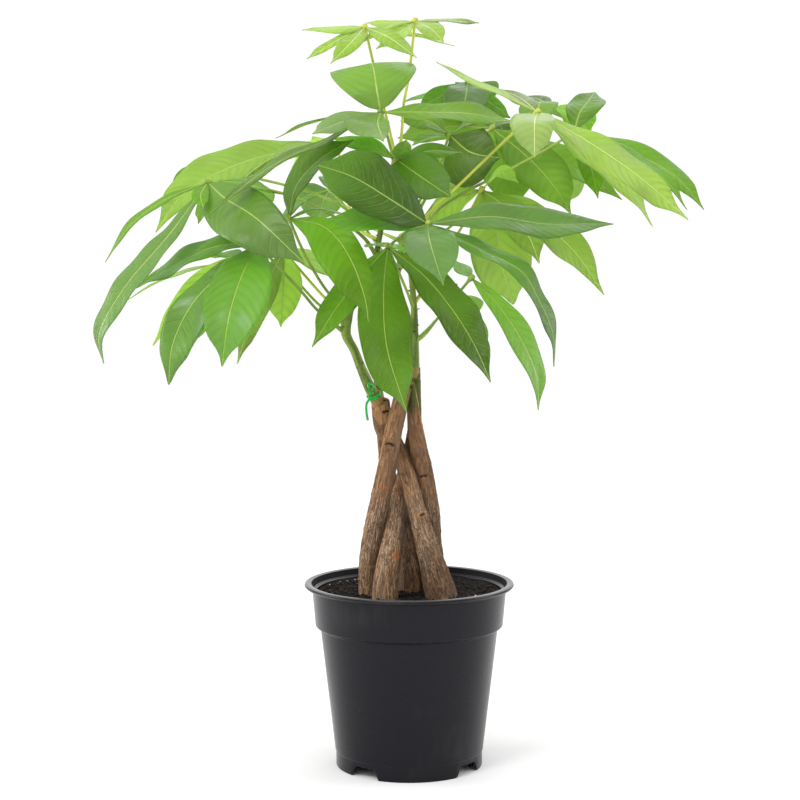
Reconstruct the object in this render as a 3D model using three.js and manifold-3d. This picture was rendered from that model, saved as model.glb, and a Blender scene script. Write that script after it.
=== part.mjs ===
// Potted money tree: five braided trunks with palmate leaves, standing in a black nursery pot.
// Millimetres, +Z up. The origin is on the pot's axis, on the surface that it stands on.
// The front of the plant faces -Y.
import * as THREE from "three";
import { mergeVertices } from "three/addons/utils/BufferGeometryUtils.js";
import Module from "manifold-3d";

const wasm = await Module();
wasm.setup();

// Space kept between two pieces that meet.
const CLEARANCE = 0.3;

// Pot: a six inch nursery pot with a rolled lip, a band under it and a notched foot ring.
const RIM_RADIUS = 75;
const RIM_HEIGHT = 131.8;
const BAND_TOP_RADIUS = 69.4;
const BAND_FOOT_RADIUS = 67.1;
const BAND_FOOT_HEIGHT = 101.4;
const BODY_TOP_RADIUS = 63.5;
const BODY_TOP_HEIGHT = 99.2;
const FOOT_RADIUS = 52.5;
const FOOT_RING_HEIGHT = 11.3;
const POT_WALL = 1.8;
const FLOOR_UNDERSIDE = 9.6;
const FLOOR_TOP = 11.6;
const LEDGE_HEIGHT = 126.4;
const POT_SIDES = 40;
const NOTCH_COUNT = 4;
const FIRST_NOTCH_ANGLE = -37;
const NOTCH_FOOT_WIDTH = 23.6;
const NOTCH_TOP_WIDTH = 16.4;
const NOTCH_HEIGHT = 7.6;
const DRAIN_RADIUS = 5;
const DRAIN_RING_RADIUS = 38;

// Soil: fills the pot to just under the ledge, and sinks a little towards the trunks.
const SOIL_EDGE_RADIUS = 65.2;
const SOIL_EDGE_HEIGHT = 125.4;
const SOIL_DIP = 3.2;
const SOIL_RINGS = 3;
const SOIL_SIDES = 24;
const ROOT_DEPTH = 34;

// The plant's points are readings in the front view, taken by an eye that stands straight in front.
const EYE_DISTANCE = 1283;
const EYE_HEIGHT = 362.5;

// Blades: places along the length where the outline is set, and the blade's section there.
const BLADE_STATIONS = [0, 0.14, 0.35, 0.58, 0.81, 1];
const SHORT_BLADE_STATIONS = [0, 0.2, 0.5, 0.8, 1];
const SHORT_BLADE = 50;
const BLADE_THICKNESS = 0.8;
const BLADE_ROOT_HALF_WIDTH = 0.9;
const BLADE_ROOT_SINK = 1.6;
const BLADE_TIP_HALF_WIDTH = 0.5;

// Leaf stalks.
const STALK_SIDES = 5;
const STALK_FOOT_RADIUS = 1.7;
const STALK_RADIUS = 1.25;
const HUB_RADIUS = 2.7;
const HUB_HEIGHT = 1.6;

// Trunks and green shoots.
const TRUNK_SIDES = 10;
const TRUNK_STEPS = 12;
const SHOOT_SIDES = 6;
const SHOOT_STEPS = 14;

// Tie: a flat plastic ribbon round the foot of the left shoot.
const RIBBON_THICKNESS = 0.8;
const RIBBON_WIDTH = 3;
const TIE_RADIUS = 5.2;
const TIE_CENTRE = [-24.8, -9, 265.9];
const TIE_AXIS = [-0.44, -0.15, 0.885];
const KNOT_CENTRE = [-27.4, -14.6, 264.8];
const KNOT_RADIUS = 2.2;
const BOW_CENTRE = [-27.6, -16.4, 271.6];
const BOW_RADIUS = 2.6;
const BOW_STRETCH = 1.9;
const TAIL = [
  [-27.4, -15.2, 264.6],
  [-29.8, -15.6, 261],
  [-30, -15, 255],
  [-29, -15.2, 249],
];

// Leaves, as readings of across, depth and up. Each has a stalk, a hub, and the blades that spread from it.
// A blade has the path of its midrib, its width in mm, how far it leans towards the front and how far its
// halves fold up. skew widens the half nearer the front, a low peak puts the widest place near the root, and
// a low full makes the outline blunter.
const LEAVES = {
  leaf_01: {
    tone: "young",
    stalk: [[-10, -18, 434], [-14, 6, 453], [-18, 24, 469], [-25, 30, 498]],
    hub: [-31, 28, 524],
    blades: [
      {
        path: [[-45, 24, 524], [-61, 20, 523], [-75, 16, 522]],
        wide: 14,
        lean: 28,
        fold: 2,
        skew: 0.4,
        peak: 0.65,
      },
      { path: [[-50, 10, 515], [-72, -2, 502]], wide: 13, lean: 18, fold: 4 },
      { path: [[-41, -4, 513], [-55, -22, 499]], wide: 16, lean: 10, fold: 4 },
      { path: [[-8, 60, 521], [11, 68, 517], [32, 72, 511]], wide: 14, lean: 24, fold: 2 },
      { path: [[-13, -10, 516], [5, -32, 503]], wide: 15, lean: 28, fold: 4 },
      { path: [[-37, 60, 523], [-43, 92, 518]], wide: 20, lean: 0, fold: 0 },
    ],
  },
  leaf_02: {
    tone: "young",
    stalk: [[-7, -16, 433], [-5, 8, 454], [-4, 18, 469], [-1, 34, 486], [1, 42, 500]],
    hub: [4, 46, 528],
    blades: [
      { path: [[22, 46, 529], [36, 46, 528], [49, 46, 527]], wide: 15, lean: 20, fold: 2 },
      { path: [[15, 22, 523], [24, 6, 514]], wide: 17, lean: 20, fold: 4 },
      { path: [[-8, 24, 519], [-23, 10, 509]], wide: 13, lean: 30, fold: 4 },
      { path: [[-13, 28, 525], [-34, 6, 513]], wide: 11, lean: 10, fold: 4 },
      { path: [[11, 82, 528], [19, 112, 522]], wide: 20, lean: 0, fold: 0 },
      { path: [[-13, 52, 527], [-30, 60, 527]], wide: 13, lean: 28, fold: 2 },
    ],
  },
  leaf_03: {
    tone: "top",
    stalk: [[-11, -22, 432], [-15, -34, 447]],
    hub: [-20, -42, 465],
    blades: [
      {
        path: [[-23, -38, 482], [-25, -24, 495], [-27, 2, 498], [-30, 16, 483]],
        wide: 60,
        lean: 8,
        fold: -5,
        full: 0.55,
      },
      { path: [[-43, -38, 463], [-66, -30, 459], [-94, -18, 447]], wide: 20, lean: 6, fold: 6 },
      { path: [[-56, -62, 447], [-98, -78, 427], [-141, -88, 394]], wide: 20, lean: 8, fold: 6 },
      { path: [[-45, -66, 459], [-68, -88, 450]], wide: 22, lean: 24, fold: 4 },
      { path: [[-22, -76, 457], [-18, -104, 445]], wide: 30, lean: 0, fold: 6, skew: 0.5 },
      { path: [[15, -44, 465], [43, -40, 464], [75, -36, 458]], wide: 27, lean: 34, fold: 6 },
    ],
  },
  leaf_04: {
    tone: "dark",
    stalk: [[-9, -20, 429]],
    hub: [-9, -52, 432],
    blades: [
      {
        path: [[8, -72, 420], [29, -86, 406]],
        wide: 38,
        lean: 38,
        fold: 8,
        skew: 0.05,
        peak: 0.75,
        full: 0.6,
      },
      { path: [[-26, -50, 441], [-42, -42, 445], [-54, -36, 447]], wide: 20, lean: 30, fold: 6 },
      { path: [[-5, -62, 438], [-2, -68, 446]], wide: 13, lean: 0, fold: 8 },
      { path: [[15, -44, 438], [37, -36, 437]], wide: 18, lean: 34, fold: 6 },
    ],
  },
  leaf_05: {
    tone: "light",
    stalk: [[-21, 2, 375], [-36, 14, 384], [-46, 34, 414]],
    hub: [-50, 55, 441],
    blades: [
      {
        path: [[-87, 46, 438], [-130, 26, 425], [-161, 8, 406], [-179, -2, 381]],
        wide: 43,
        lean: 34,
        fold: 8,
      },
      { path: [[-68, 62, 436], [-83, 72, 426]], wide: 34, lean: 45, fold: 8, full: 0.6 },
      { path: [[-87, 26, 438], [-118, -8, 419]], wide: 34, lean: -25, fold: 8, skew: -0.3 },
      { path: [[-52, 100, 445], [-56, 140, 438]], wide: 36, lean: 0, fold: 8 },
    ],
  },
  leaf_06: {
    tone: "mid",
    stalk: [[-23, 0, 364], [-33, -6, 378], [-77, -22, 404], [-112, -34, 413]],
    hub: [-142, -40, 416],
    blades: [
      { path: [[-118, -38, 416], [-91, -26, 408]], wide: 16, lean: 24, fold: 6 },
      {
        path: [[-130, -64, 405], [-107, -96, 390], [-74, -110, 359]],
        wide: 40,
        lean: 52,
        fold: 8,
        skew: 0.2,
        peak: 1,
        full: 0.75,
      },
      {
        path: [[-169, -62, 380], [-203, -72, 340], [-220, -72, 308], [-217, -64, 288]],
        wide: 23,
        lean: 30,
        fold: 6,
        peak: 1.2,
      },
      { path: [[-172, -40, 404], [-198, -42, 385], [-215, -40, 360]], wide: 14, lean: 26, fold: 6 },
      { path: [[-147, -60, 407], [-145, -74, 398]], wide: 12, lean: 0, fold: 6 },
    ],
  },
  leaf_07: {
    tone: "mid",
    stalk: [[-43, -14, 325], [-57, -34, 338], [-73, -50, 364]],
    hub: [-85, -55, 391],
    blades: [
      {
        path: [[-80, -56, 413], [-63, -61, 432], [-39, -64, 446]],
        wide: 30,
        lean: 44,
        fold: 8,
        skew: -0.15,
        peak: 0.95,
      },
      {
        path: [[-59, -78, 384], [-42, -96, 363], [-31, -100, 333], [-29, -96, 318]],
        wide: 31,
        lean: 44,
        fold: 8,
        skew: 0.3,
      },
      { path: [[-66, -50, 397], [-45, -44, 394]], wide: 20, lean: 8, fold: 6 },
    ],
  },
  leaf_08: {
    tone: "light",
    stalk: [[-43, -14, 320], [-60, -10, 335], [-76, -10, 353]],
    hub: [-89, -20, 368],
    blades: [
      { path: [[-89, -28, 344], [-91, -34, 314]], wide: 27, lean: 0, fold: 6, peak: 0.9 },
      { path: [[-66, -10, 360], [-45, 0, 349]], wide: 30, lean: 35, fold: 6 },
      { path: [[-132, -30, 354], [-162, -38, 328], [-182, -40, 301]], wide: 26, lean: 38, fold: 6 },
      {
        path: [[-105, -45, 335], [-116, -55, 308], [-122, -58, 288]],
        wide: 20,
        lean: 24,
        fold: 6,
        peak: 0.9,
      },
      { path: [[-144, -14, 357], [-176, -12, 347], [-202, -10, 332]], wide: 16, lean: 8, fold: 6 },
    ],
  },
  leaf_09: {
    tone: "dark",
    stalk: [[-47, -15, 311], [-65, -34, 326], [-77, -48, 340], [-91, -62, 355]],
    hub: [-107, -72, 373],
    blades: [
      { path: [[-137, -60, 371], [-169, -48, 356], [-195, -40, 341]], wide: 34, lean: 32, fold: 8 },
      {
        path: [[-132, -84, 353], [-154, -94, 330], [-168, -98, 301], [-171, -96, 273]],
        wide: 30,
        lean: 42,
        fold: 8,
        skew: 0.2,
        peak: 1.45,
        full: 0.65,
      },
      {
        path: [[-119, -98, 349], [-128, -116, 320], [-133, -122, 286]],
        wide: 44,
        lean: 8,
        fold: 6,
        skew: 0.1,
        peak: 0.95,
      },
    ],
  },
  leaf_10: {
    tone: "mid",
    stalk: [[3, 0, 328], [-4, -20, 345], [-11, -38, 361]],
    hub: [-15, -48, 371],
    blades: [
      { path: [[-18, -68, 340], [-16, -74, 301], [-2, -68, 254]], wide: 42, lean: 2, fold: 6 },
      {
        path: [[12, -62, 349], [33, -70, 323], [47, -72, 300], [58, -68, 275]],
        wide: 36,
        lean: 34,
        fold: 8,
      },
      { path: [[-35, -62, 349], [-52, -70, 327], [-69, -72, 300]], wide: 26, lean: 34, fold: 8 },
      { path: [[-22, -28, 373], [-29, -6, 371]], wide: 16, lean: 10, fold: 6 },
      { path: [[2, -24, 367], [18, 4, 357]], wide: 24, lean: 20, fold: 6 },
    ],
  },
  leaf_11: {
    tone: "deep",
    stalk: [[-22, 0, 360], [-14, -26, 371], [-1, -68, 382]],
    hub: [13, -105, 387],
    blades: [
      {
        path: [[-13, -118, 404], [-40, -124, 420], [-64, -118, 428]],
        wide: 44,
        lean: 62,
        fold: 6,
        skew: -0.05,
        peak: 1.25,
        full: 0.5,
      },
      { path: [[-22, -112, 390], [-61, -110, 390]], wide: 30, lean: 36, fold: 6 },
      { path: [[15, -144, 373], [24, -178, 344]], wide: 35, lean: 0, fold: 8, peak: 1, full: 1 },
      {
        path: [[57, -112, 392], [96, -108, 387], [124, -104, 387], [144, -100, 387]],
        wide: 38,
        lean: 32,
        fold: 6,
      },
      {
        path: [[53, -120, 368], [80, -128, 353], [92, -130, 333], [102, -126, 309], [103, -122, 286]],
        wide: 22,
        lean: 24,
        fold: 6,
        peak: 0.85,
        full: 0.8,
      },
    ],
  },
  leaf_12: {
    tone: "mid",
    stalk: [[5, 4, 304], [20, -8, 320], [34, -20, 337]],
    hub: [44, -25, 349],
    blades: [
      {
        path: [[61, -36, 332], [79, -42, 306], [91, -42, 278], [92, -40, 255]],
        wide: 24,
        lean: 32,
        fold: 8,
        peak: 0.95,
      },
      { path: [[39, -10, 354], [33, 8, 361]], wide: 12, lean: 10, fold: 4 },
    ],
  },
  leaf_13: {
    tone: "light",
    stalk: [[3, 0, 330], [8, 2, 337], [22, 6, 360], [39, 10, 388]],
    hub: [51, 12, 411],
    blades: [
      {
        path: [[61, 2, 386], [65, -6, 360], [74, -12, 330]],
        wide: 50,
        lean: 14,
        fold: 6,
        peak: 1.15,
        full: 0.6,
      },
      { path: [[72, -10, 395], [85, -16, 377], [92, -20, 359]], wide: 28, lean: 36, fold: 6 },
      { path: [[85, -2, 394], [117, 0, 367], [138, -5, 337]], wide: 34, lean: 36, fold: 8 },
      { path: [[34, 18, 404], [13, 16, 387]], wide: 22, lean: 60, fold: 6 },
      { path: [[64, 2, 424], [77, -2, 416]], wide: 16, lean: 30, fold: 4 },
    ],
  },
  leaf_14: {
    tone: "young",
    stalk: [[0, -12, 373], [12, -14, 392], [32, -18, 411], [76, -22, 453]],
    hub: [90, -25, 465],
    blades: [
      { path: [[67, -15, 477], [44, -8, 487], [19, 0, 500]], wide: 16, lean: 12, fold: 2 },
      { path: [[78, 5, 475], [64, 25, 481]], wide: 16, lean: 10, fold: 2 },
      {
        path: [[88, -60, 457], [88, -76, 445], [88, -88, 434]],
        wide: 31,
        lean: 0,
        fold: 6,
        skew: -0.1,
        peak: 0.8,
        full: 0.6,
      },
      {
        path: [[125, -35, 445], [162, -42, 420], [197, -45, 390]],
        wide: 36,
        lean: 36,
        fold: 6,
        skew: 0.15,
      },
      { path: [[124, -12, 437], [154, -14, 413], [172, -15, 385]], wide: 34, lean: 36, fold: 6 },
    ],
  },
  leaf_15: {
    tone: "mid",
    stalk: [[1, -6, 371], [22, 4, 398], [65, 20, 422], [86, 28, 433], [108, 36, 446]],
    hub: [116, 38, 452],
    blades: [
      {
        path: [[120, 58, 465], [126, 78, 473], [130, 98, 479]],
        wide: 27,
        lean: 10,
        fold: 2,
        peak: 1.3,
        full: 0.6,
      },
      { path: [[157, 40, 437], [188, 38, 420], [208, 30, 397]], wide: 32, lean: 32, fold: 6 },
      { path: [[152, 20, 437], [180, 16, 418], [196, 10, 397]], wide: 24, lean: 14, fold: 6 },
      { path: [[127, 16, 430], [133, 0, 405]], wide: 18, lean: 14, fold: 6 },
    ],
  },
  leaf_16: {
    tone: "top",
    stalk: [[-2, -3, 377], [11, 18, 404], [32, 40, 428]],
    hub: [58, 62, 454],
    blades: [
      { path: [[85, 38, 432], [103, 24, 412], [114, 14, 394]], wide: 36, lean: 42, fold: 8 },
      { path: [[95, 56, 437], [127, 50, 420], [150, 44, 404]], wide: 34, lean: 36, fold: 8 },
      { path: [[68, 42, 428], [77, 34, 399]], wide: 40, lean: 30, fold: 8, full: 0.7 },
      { path: [[30, 66, 455], [-8, 60, 447]], wide: 34, lean: 42, fold: 8 },
      { path: [[62, 110, 458], [67, 150, 451]], wide: 34, lean: 0, fold: 8 },
    ],
  },
  leaf_17: {
    tone: "top",
    stalk: [[-4, -8, 373], [6, 2, 400], [20, 16, 426]],
    hub: [28, 25, 449],
    blades: [
      { path: [[15, 20, 448], [2, 12, 442]], wide: 14, lean: 15, fold: 6 },
      { path: [[46, 30, 459], [66, 28, 458]], wide: 18, lean: 18, fold: 6 },
      { path: [[43, 14, 437], [64, 6, 433]], wide: 46, lean: 75, fold: 8, skew: 0.15 },
      { path: [[13, 24, 459], [-6, 20, 459]], wide: 26, lean: 40, fold: 6 },
    ],
  },
  leaf_18: {
    tone: "deep",
    stalk: [[-4, 64, 375], [15, 82, 411], [37, 100, 456]],
    hub: [41, 105, 486],
    blades: [
      { path: [[40, 84, 478], [36, 56, 459]], wide: 34, lean: 0, fold: 6, peak: 0.9, full: 0.6 },
      { path: [[26, 100, 478], [6, 88, 468]], wide: 26, lean: 55, fold: 6, skew: 0.35 },
      { path: [[54, 98, 474], [71, 88, 461]], wide: 28, lean: 50, fold: 8, skew: 0.5, peak: 0.9 },
      { path: [[47, 136, 484], [51, 166, 470]], wide: 34, lean: 0, fold: 6 },
      { path: [[22, 114, 480], [-5, 106, 472]], wide: 14, lean: 20, fold: 4 },
    ],
  },
  leaf_19: {
    tone: "top",
    stalk: [[-5, 61, 364], [29, 72, 411], [71, 90, 452]],
    hub: [100, 98, 469],
    blades: [
      { path: [[88, 120, 475], [76, 130, 475]], wide: 18, lean: 15, fold: 6 },
      { path: [[92, 80, 472], [90, 56, 454]], wide: 30, lean: 0, fold: 6 },
      { path: [[116, 92, 464], [128, 84, 451]], wide: 30, lean: 32, fold: 6 },
      { path: [[107, 135, 468], [114, 164, 458]], wide: 34, lean: 0, fold: 6 },
    ],
  },
  leaf_20: {
    tone: "mid",
    stalk: [[-10, 58, 356], [-49, 80, 400]],
    hub: [-123, 95, 422],
    blades: [
      { path: [[-147, 92, 418], [-168, 82, 404]], wide: 34, lean: 40, fold: 8 },
      { path: [[-136, 116, 409], [-149, 132, 387]], wide: 34, lean: 20, fold: 8 },
      { path: [[-112, 134, 413], [-101, 172, 397]], wide: 34, lean: 10, fold: 8 },
      { path: [[-132, 128, 429], [-143, 160, 430]], wide: 32, lean: 0, fold: 8 },
    ],
  },
  leaf_21: {
    tone: "deep",
    stalk: [[-7, 68, 375], [-33, 96, 388]],
    hub: [-56, 115, 411],
    blades: [
      { path: [[-75, 128, 405], [-94, 142, 388]], wide: 34, lean: 40, fold: 8 },
      { path: [[-61, 148, 402], [-64, 180, 388]], wide: 34, lean: 0, fold: 8 },
      { path: [[-49, 146, 419], [-42, 178, 422]], wide: 34, lean: 0, fold: 8 },
      { path: [[-33, 134, 415], [-8, 154, 405]], wide: 34, lean: 40, fold: 8 },
    ],
  },
  leaf_22: {
    tone: "mid",
    stalk: [[-6, 67, 367], [22, 108, 407]],
    hub: [43, 125, 432],
    blades: [
      { path: [[24, 142, 430], [2, 158, 418]], wide: 34, lean: 40, fold: 8 },
      { path: [[37, 152, 422], [33, 180, 405]], wide: 34, lean: 0, fold: 8 },
      { path: [[67, 138, 434], [90, 150, 426]], wide: 34, lean: 40, fold: 8 },
      { path: [[47, 152, 440], [51, 182, 441]], wide: 30, lean: 0, fold: 8 },
    ],
  },
  leaf_23: {
    tone: "top",
    stalk: [[-6, 58, 356], [50, 90, 400]],
    hub: [103, 108, 427],
    blades: [
      { path: [[90, 122, 420], [74, 136, 402]], wide: 32, lean: 40, fold: 8 },
      { path: [[108, 132, 418], [110, 162, 401]], wide: 32, lean: 0, fold: 8 },
      { path: [[120, 116, 426], [133, 122, 415]], wide: 32, lean: 36, fold: 8 },
      { path: [[110, 136, 436], [119, 172, 434]], wide: 32, lean: 0, fold: 8 },
    ],
  },
  leaf_24: {
    tone: "mid",
    stalk: [[-18, 40, 305], [5, 54, 304], [20, 66, 320]],
    hub: [29, 74, 333],
    blades: [
      { path: [[39, 74, 319], [50, 66, 294]], wide: 32, lean: 36, fold: 8 },
      { path: [[22, 96, 342], [10, 134, 342]], wide: 32, lean: 0, fold: 8 },
      { path: [[37, 104, 335], [44, 138, 320]], wide: 30, lean: 0, fold: 8 },
    ],
  },
  leaf_25: {
    tone: "mid",
    stalk: [[-45, -12, 316], [-64, 4, 330], [-91, 14, 356]],
    hub: [-116, 28, 360],
    blades: [
      { path: [[-120, 42, 333], [-126, 44, 298]], wide: 34, lean: 0, fold: 8 },
      { path: [[-139, 34, 333], [-158, 30, 298]], wide: 32, lean: 36, fold: 8 },
      { path: [[-111, 60, 349], [-108, 92, 333]], wide: 32, lean: 0, fold: 8 },
      { path: [[-132, 58, 367], [-137, 90, 363]], wide: 30, lean: 0, fold: 8 },
    ],
  },
};

// Braided trunks, from the foot up: across, depth and up, and the radius there.
const TRUNKS = {
  trunk_1: [
    [-28.8, -2, 109.8, 7.6],
    [-28, -4, 147.4, 7.4],
    [-25.1, -8, 170.5, 7.6],
    [-20.8, -14, 190.7, 7.6],
    [-16.5, -20, 210.8, 7],
    [-13.6, -22, 226.5, 7],
    [-10.8, -20, 242.3, 6.8],
    [-7.9, -16, 253.7, 6.4],
    [-5.8, -15, 263, 6],
    [-3.7, -13, 270.8, 5.2],
  ],
  trunk_2: [
    [-17.3, -20, 109.8, 9.6],
    [-16.6, -19, 133, 9.4],
    [-13.7, -15, 151.1, 8.4],
    [-10.8, -9, 169.1, 7.2],
    [-8, -1, 187.1, 6.6],
    [-4.4, 6, 201.5, 6.2],
    [-0.8, 12, 217.9, 5.6],
    [2.7, 13, 235.1, 4.8],
    [4.5, 10, 255.1, 3.8],
    [4.5, 8, 285, 3.5],
  ],
  trunk_3: [
    [2, 17, 109.8, 9.6],
    [-0.1, 16, 140.2, 9],
    [-2.3, 15, 161.9, 8.4],
    [-7.3, 14, 184.9, 7.2],
    [-14.4, 14, 206.5, 6.4],
    [-17.2, 15, 226.5, 5.6],
    [-18.6, 15, 244.4, 5],
    [-19.3, 15, 256.5, 4.6],
  ],
  trunk_4: [
    [25, -14, 109.8, 12.4],
    [19.9, -14, 133, 11.8],
    [13.5, -14, 154.7, 11],
    [8.5, -13, 172.7, 9.6],
    [3.4, -12, 190.7, 8.2],
    [-0.8, -8, 206.5, 6.8],
    [-5.1, -2, 219.4, 6.2],
    [-10.8, 3, 230.1, 6],
    [-16.5, 2, 240.8, 6.2],
    [-19, -3, 250.8, 7.2],
    [-20, -4, 256.5, 7.6],
    [-20.4, -6, 261.5, 6.4],
  ],
  trunk_5: [
    [16.4, 18, 109.8, 9.6],
    [17.1, 17, 140.2, 9],
    [15.6, 12, 161.9, 8.4],
    [14.9, 9, 179.9, 7.8],
    [12.7, 4, 194.3, 7.4],
    [9.9, -1, 212.2, 7.2],
    [6.3, -4, 230.1, 6.8],
    [4.1, -4, 244.4, 6],
    [2.7, -4, 258.7, 4.8],
    [1.3, -3, 275.1, 2.4],
  ],
};

// Green shoots, from the foot up: across, depth and up, and the radius there.
const SHOOTS = {
  shoot_1: [
    [-22.1, -8, 259.4, 4.4],
    [-27.8, -10, 270.8, 3.9],
    [-33.5, -12, 283.6, 3.3],
    [-39.1, -14, 297.8, 3.1],
    [-44.7, -15, 309.1, 4],
    [-44, -14, 320.5, 2.9],
    [-40.4, -12, 331.8, 2.4],
    [-32.6, -6, 344.5, 2.2],
    [-24.8, -1, 358.6, 2.1],
    [-21.3, 2, 375.5, 2],
    [-17.7, 0, 396.5, 1.8],
    [-13.5, -8, 417.5, 1.7],
    [-9.3, -20, 433.6, 2.6],
  ],
  shoot_2: [
    [4.5, 8, 277.9, 3.1],
    [4.1, 4, 303.5, 2.9],
    [3.4, 0, 327.5, 2.6],
    [1.6, -5, 349.4, 2.3],
    [-0.1, -8, 363.5, 2.1],
    [-1.5, -8, 375.5, 2.8],
  ],
  shoot_3: [
    [-19.3, 15, 253.7, 3.6],
    [-22.1, 24, 272.9, 3.2],
    [-20, 38, 301.3, 2.8],
    [-13.6, 52, 333.2, 2.4],
    [-6.5, 60, 360, 2.4],
    [-5.1, 66, 379, 2.4],
  ],
};

// Colours, roughness and metalness of each finish.
const FINISHES = {
  pot: { color: 0x2b2a2e, roughness: 0.42, metalness: 0 },
  soil: { color: 0x2a2321, roughness: 0.95, metalness: 0 },
  bark: { color: 0x6f5642, roughness: 0.85, metalness: 0 },
  stem: { color: 0x5f8a2c, roughness: 0.5, metalness: 0 },
  tie: { color: 0x1fae4e, roughness: 0.35, metalness: 0 },
  young: { color: 0x9cc653, roughness: 0.45, metalness: 0 },
  light: { color: 0x86b545, roughness: 0.45, metalness: 0 },
  top: { color: 0x6a9c34, roughness: 0.42, metalness: 0 },
  mid: { color: 0x558a2b, roughness: 0.4, metalness: 0 },
  deep: { color: 0x437a22, roughness: 0.36, metalness: 0 },
  dark: { color: 0x396b17, roughness: 0.34, metalness: 0 },
};

// A reading in the front view, carried along the eye's line of sight to its depth.
function seen([across, depth, up]) {
  const spread = 1 + depth / EYE_DISTANCE;
  return new THREE.Vector3(across * spread, depth, EYE_HEIGHT + (up - EYE_HEIGHT) * spread);
}

// A smooth curve through readings in the front view.
function seenCurve(readings) {
  return new THREE.CatmullRomCurve3(readings.map(seen), false, "centripetal");
}

// A closed geometry as a solid that can be joined and cut.
function solidOf(geometry) {
  const bare = geometry.clone();
  bare.deleteAttribute("normal");
  bare.deleteAttribute("uv");
  const merged = mergeVertices(bare, 1e-4);
  const solid = new wasm.Manifold(
    new wasm.Mesh({
      numProp: 3,
      vertProperties: merged.attributes.position.array,
      triVerts: new Uint32Array(merged.index.array),
    }),
  );
  return solid;
}

// A solid as a geometry to show.
function geometryOf(solid) {
  const mesh = solid.getMesh();
  const geometry = new THREE.BufferGeometry();
  geometry.setAttribute("position", new THREE.BufferAttribute(new Float32Array(mesh.vertProperties), 3));
  geometry.setIndex(new THREE.BufferAttribute(new Uint32Array(mesh.triVerts), 1));
  geometry.computeVertexNormals();
  return geometry;
}

// The largest body of a solid, without the scraps that a cut leaves.
function largestBody(solid) {
  const bodies = solid.decompose();
  return bodies.reduce((best, body) => (body.volume() > best.volume() ? body : best));
}

// A closed limb along a curve, with its radius given at each share of its length.
function limbGeometry(curve, radiusAt, sides, steps) {
  const geometry = new THREE.CylinderGeometry(1, 1, 1, sides, steps);
  const frames = curve.computeFrenetFrames(steps, false);
  const position = geometry.attributes.position;
  const point = new THREE.Vector3();
  for (let i = 0; i < position.count; i += 1) {
    const station = Math.round((0.5 - position.getY(i)) * steps);
    const share = station / steps;
    const radius = radiusAt(share);
    curve.getPointAt(share, point);
    point.addScaledVector(frames.normals[station], position.getX(i) * radius);
    point.addScaledVector(frames.binormals[station], position.getZ(i) * radius);
    position.setXYZ(i, point.x, point.y, point.z);
  }
  return geometry;
}

// A radius read at evenly counted places, blended in between.
function blendedRadius(radii, grow) {
  return (share) => {
    const place = Math.min(share, 1) * (radii.length - 1);
    const before = Math.min(Math.floor(place), radii.length - 2);
    return THREE.MathUtils.lerp(radii[before], radii[before + 1], place - before) + grow;
  };
}

// A woody or green stem: rows of across, depth, up and radius.
function stemSolid(rows, sides, steps, grow) {
  const curve = seenCurve(rows);
  const radii = rows.map((row) => row[3]);
  return solidOf(limbGeometry(curve, blendedRadius(radii, grow), sides, steps));
}

// Half-width of a blade at a share of its length: narrow at the root, widest past the middle, drawn to a tip.
function halfWidthAt(share, wide, peak, full) {
  const outline = Math.pow(Math.sin(Math.PI * Math.pow(share, peak)), full) || 0;
  const least = THREE.MathUtils.lerp(BLADE_ROOT_HALF_WIDTH, BLADE_TIP_HALF_WIDTH, share);
  return Math.max(least, 0.5 * wide * outline);
}

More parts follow.
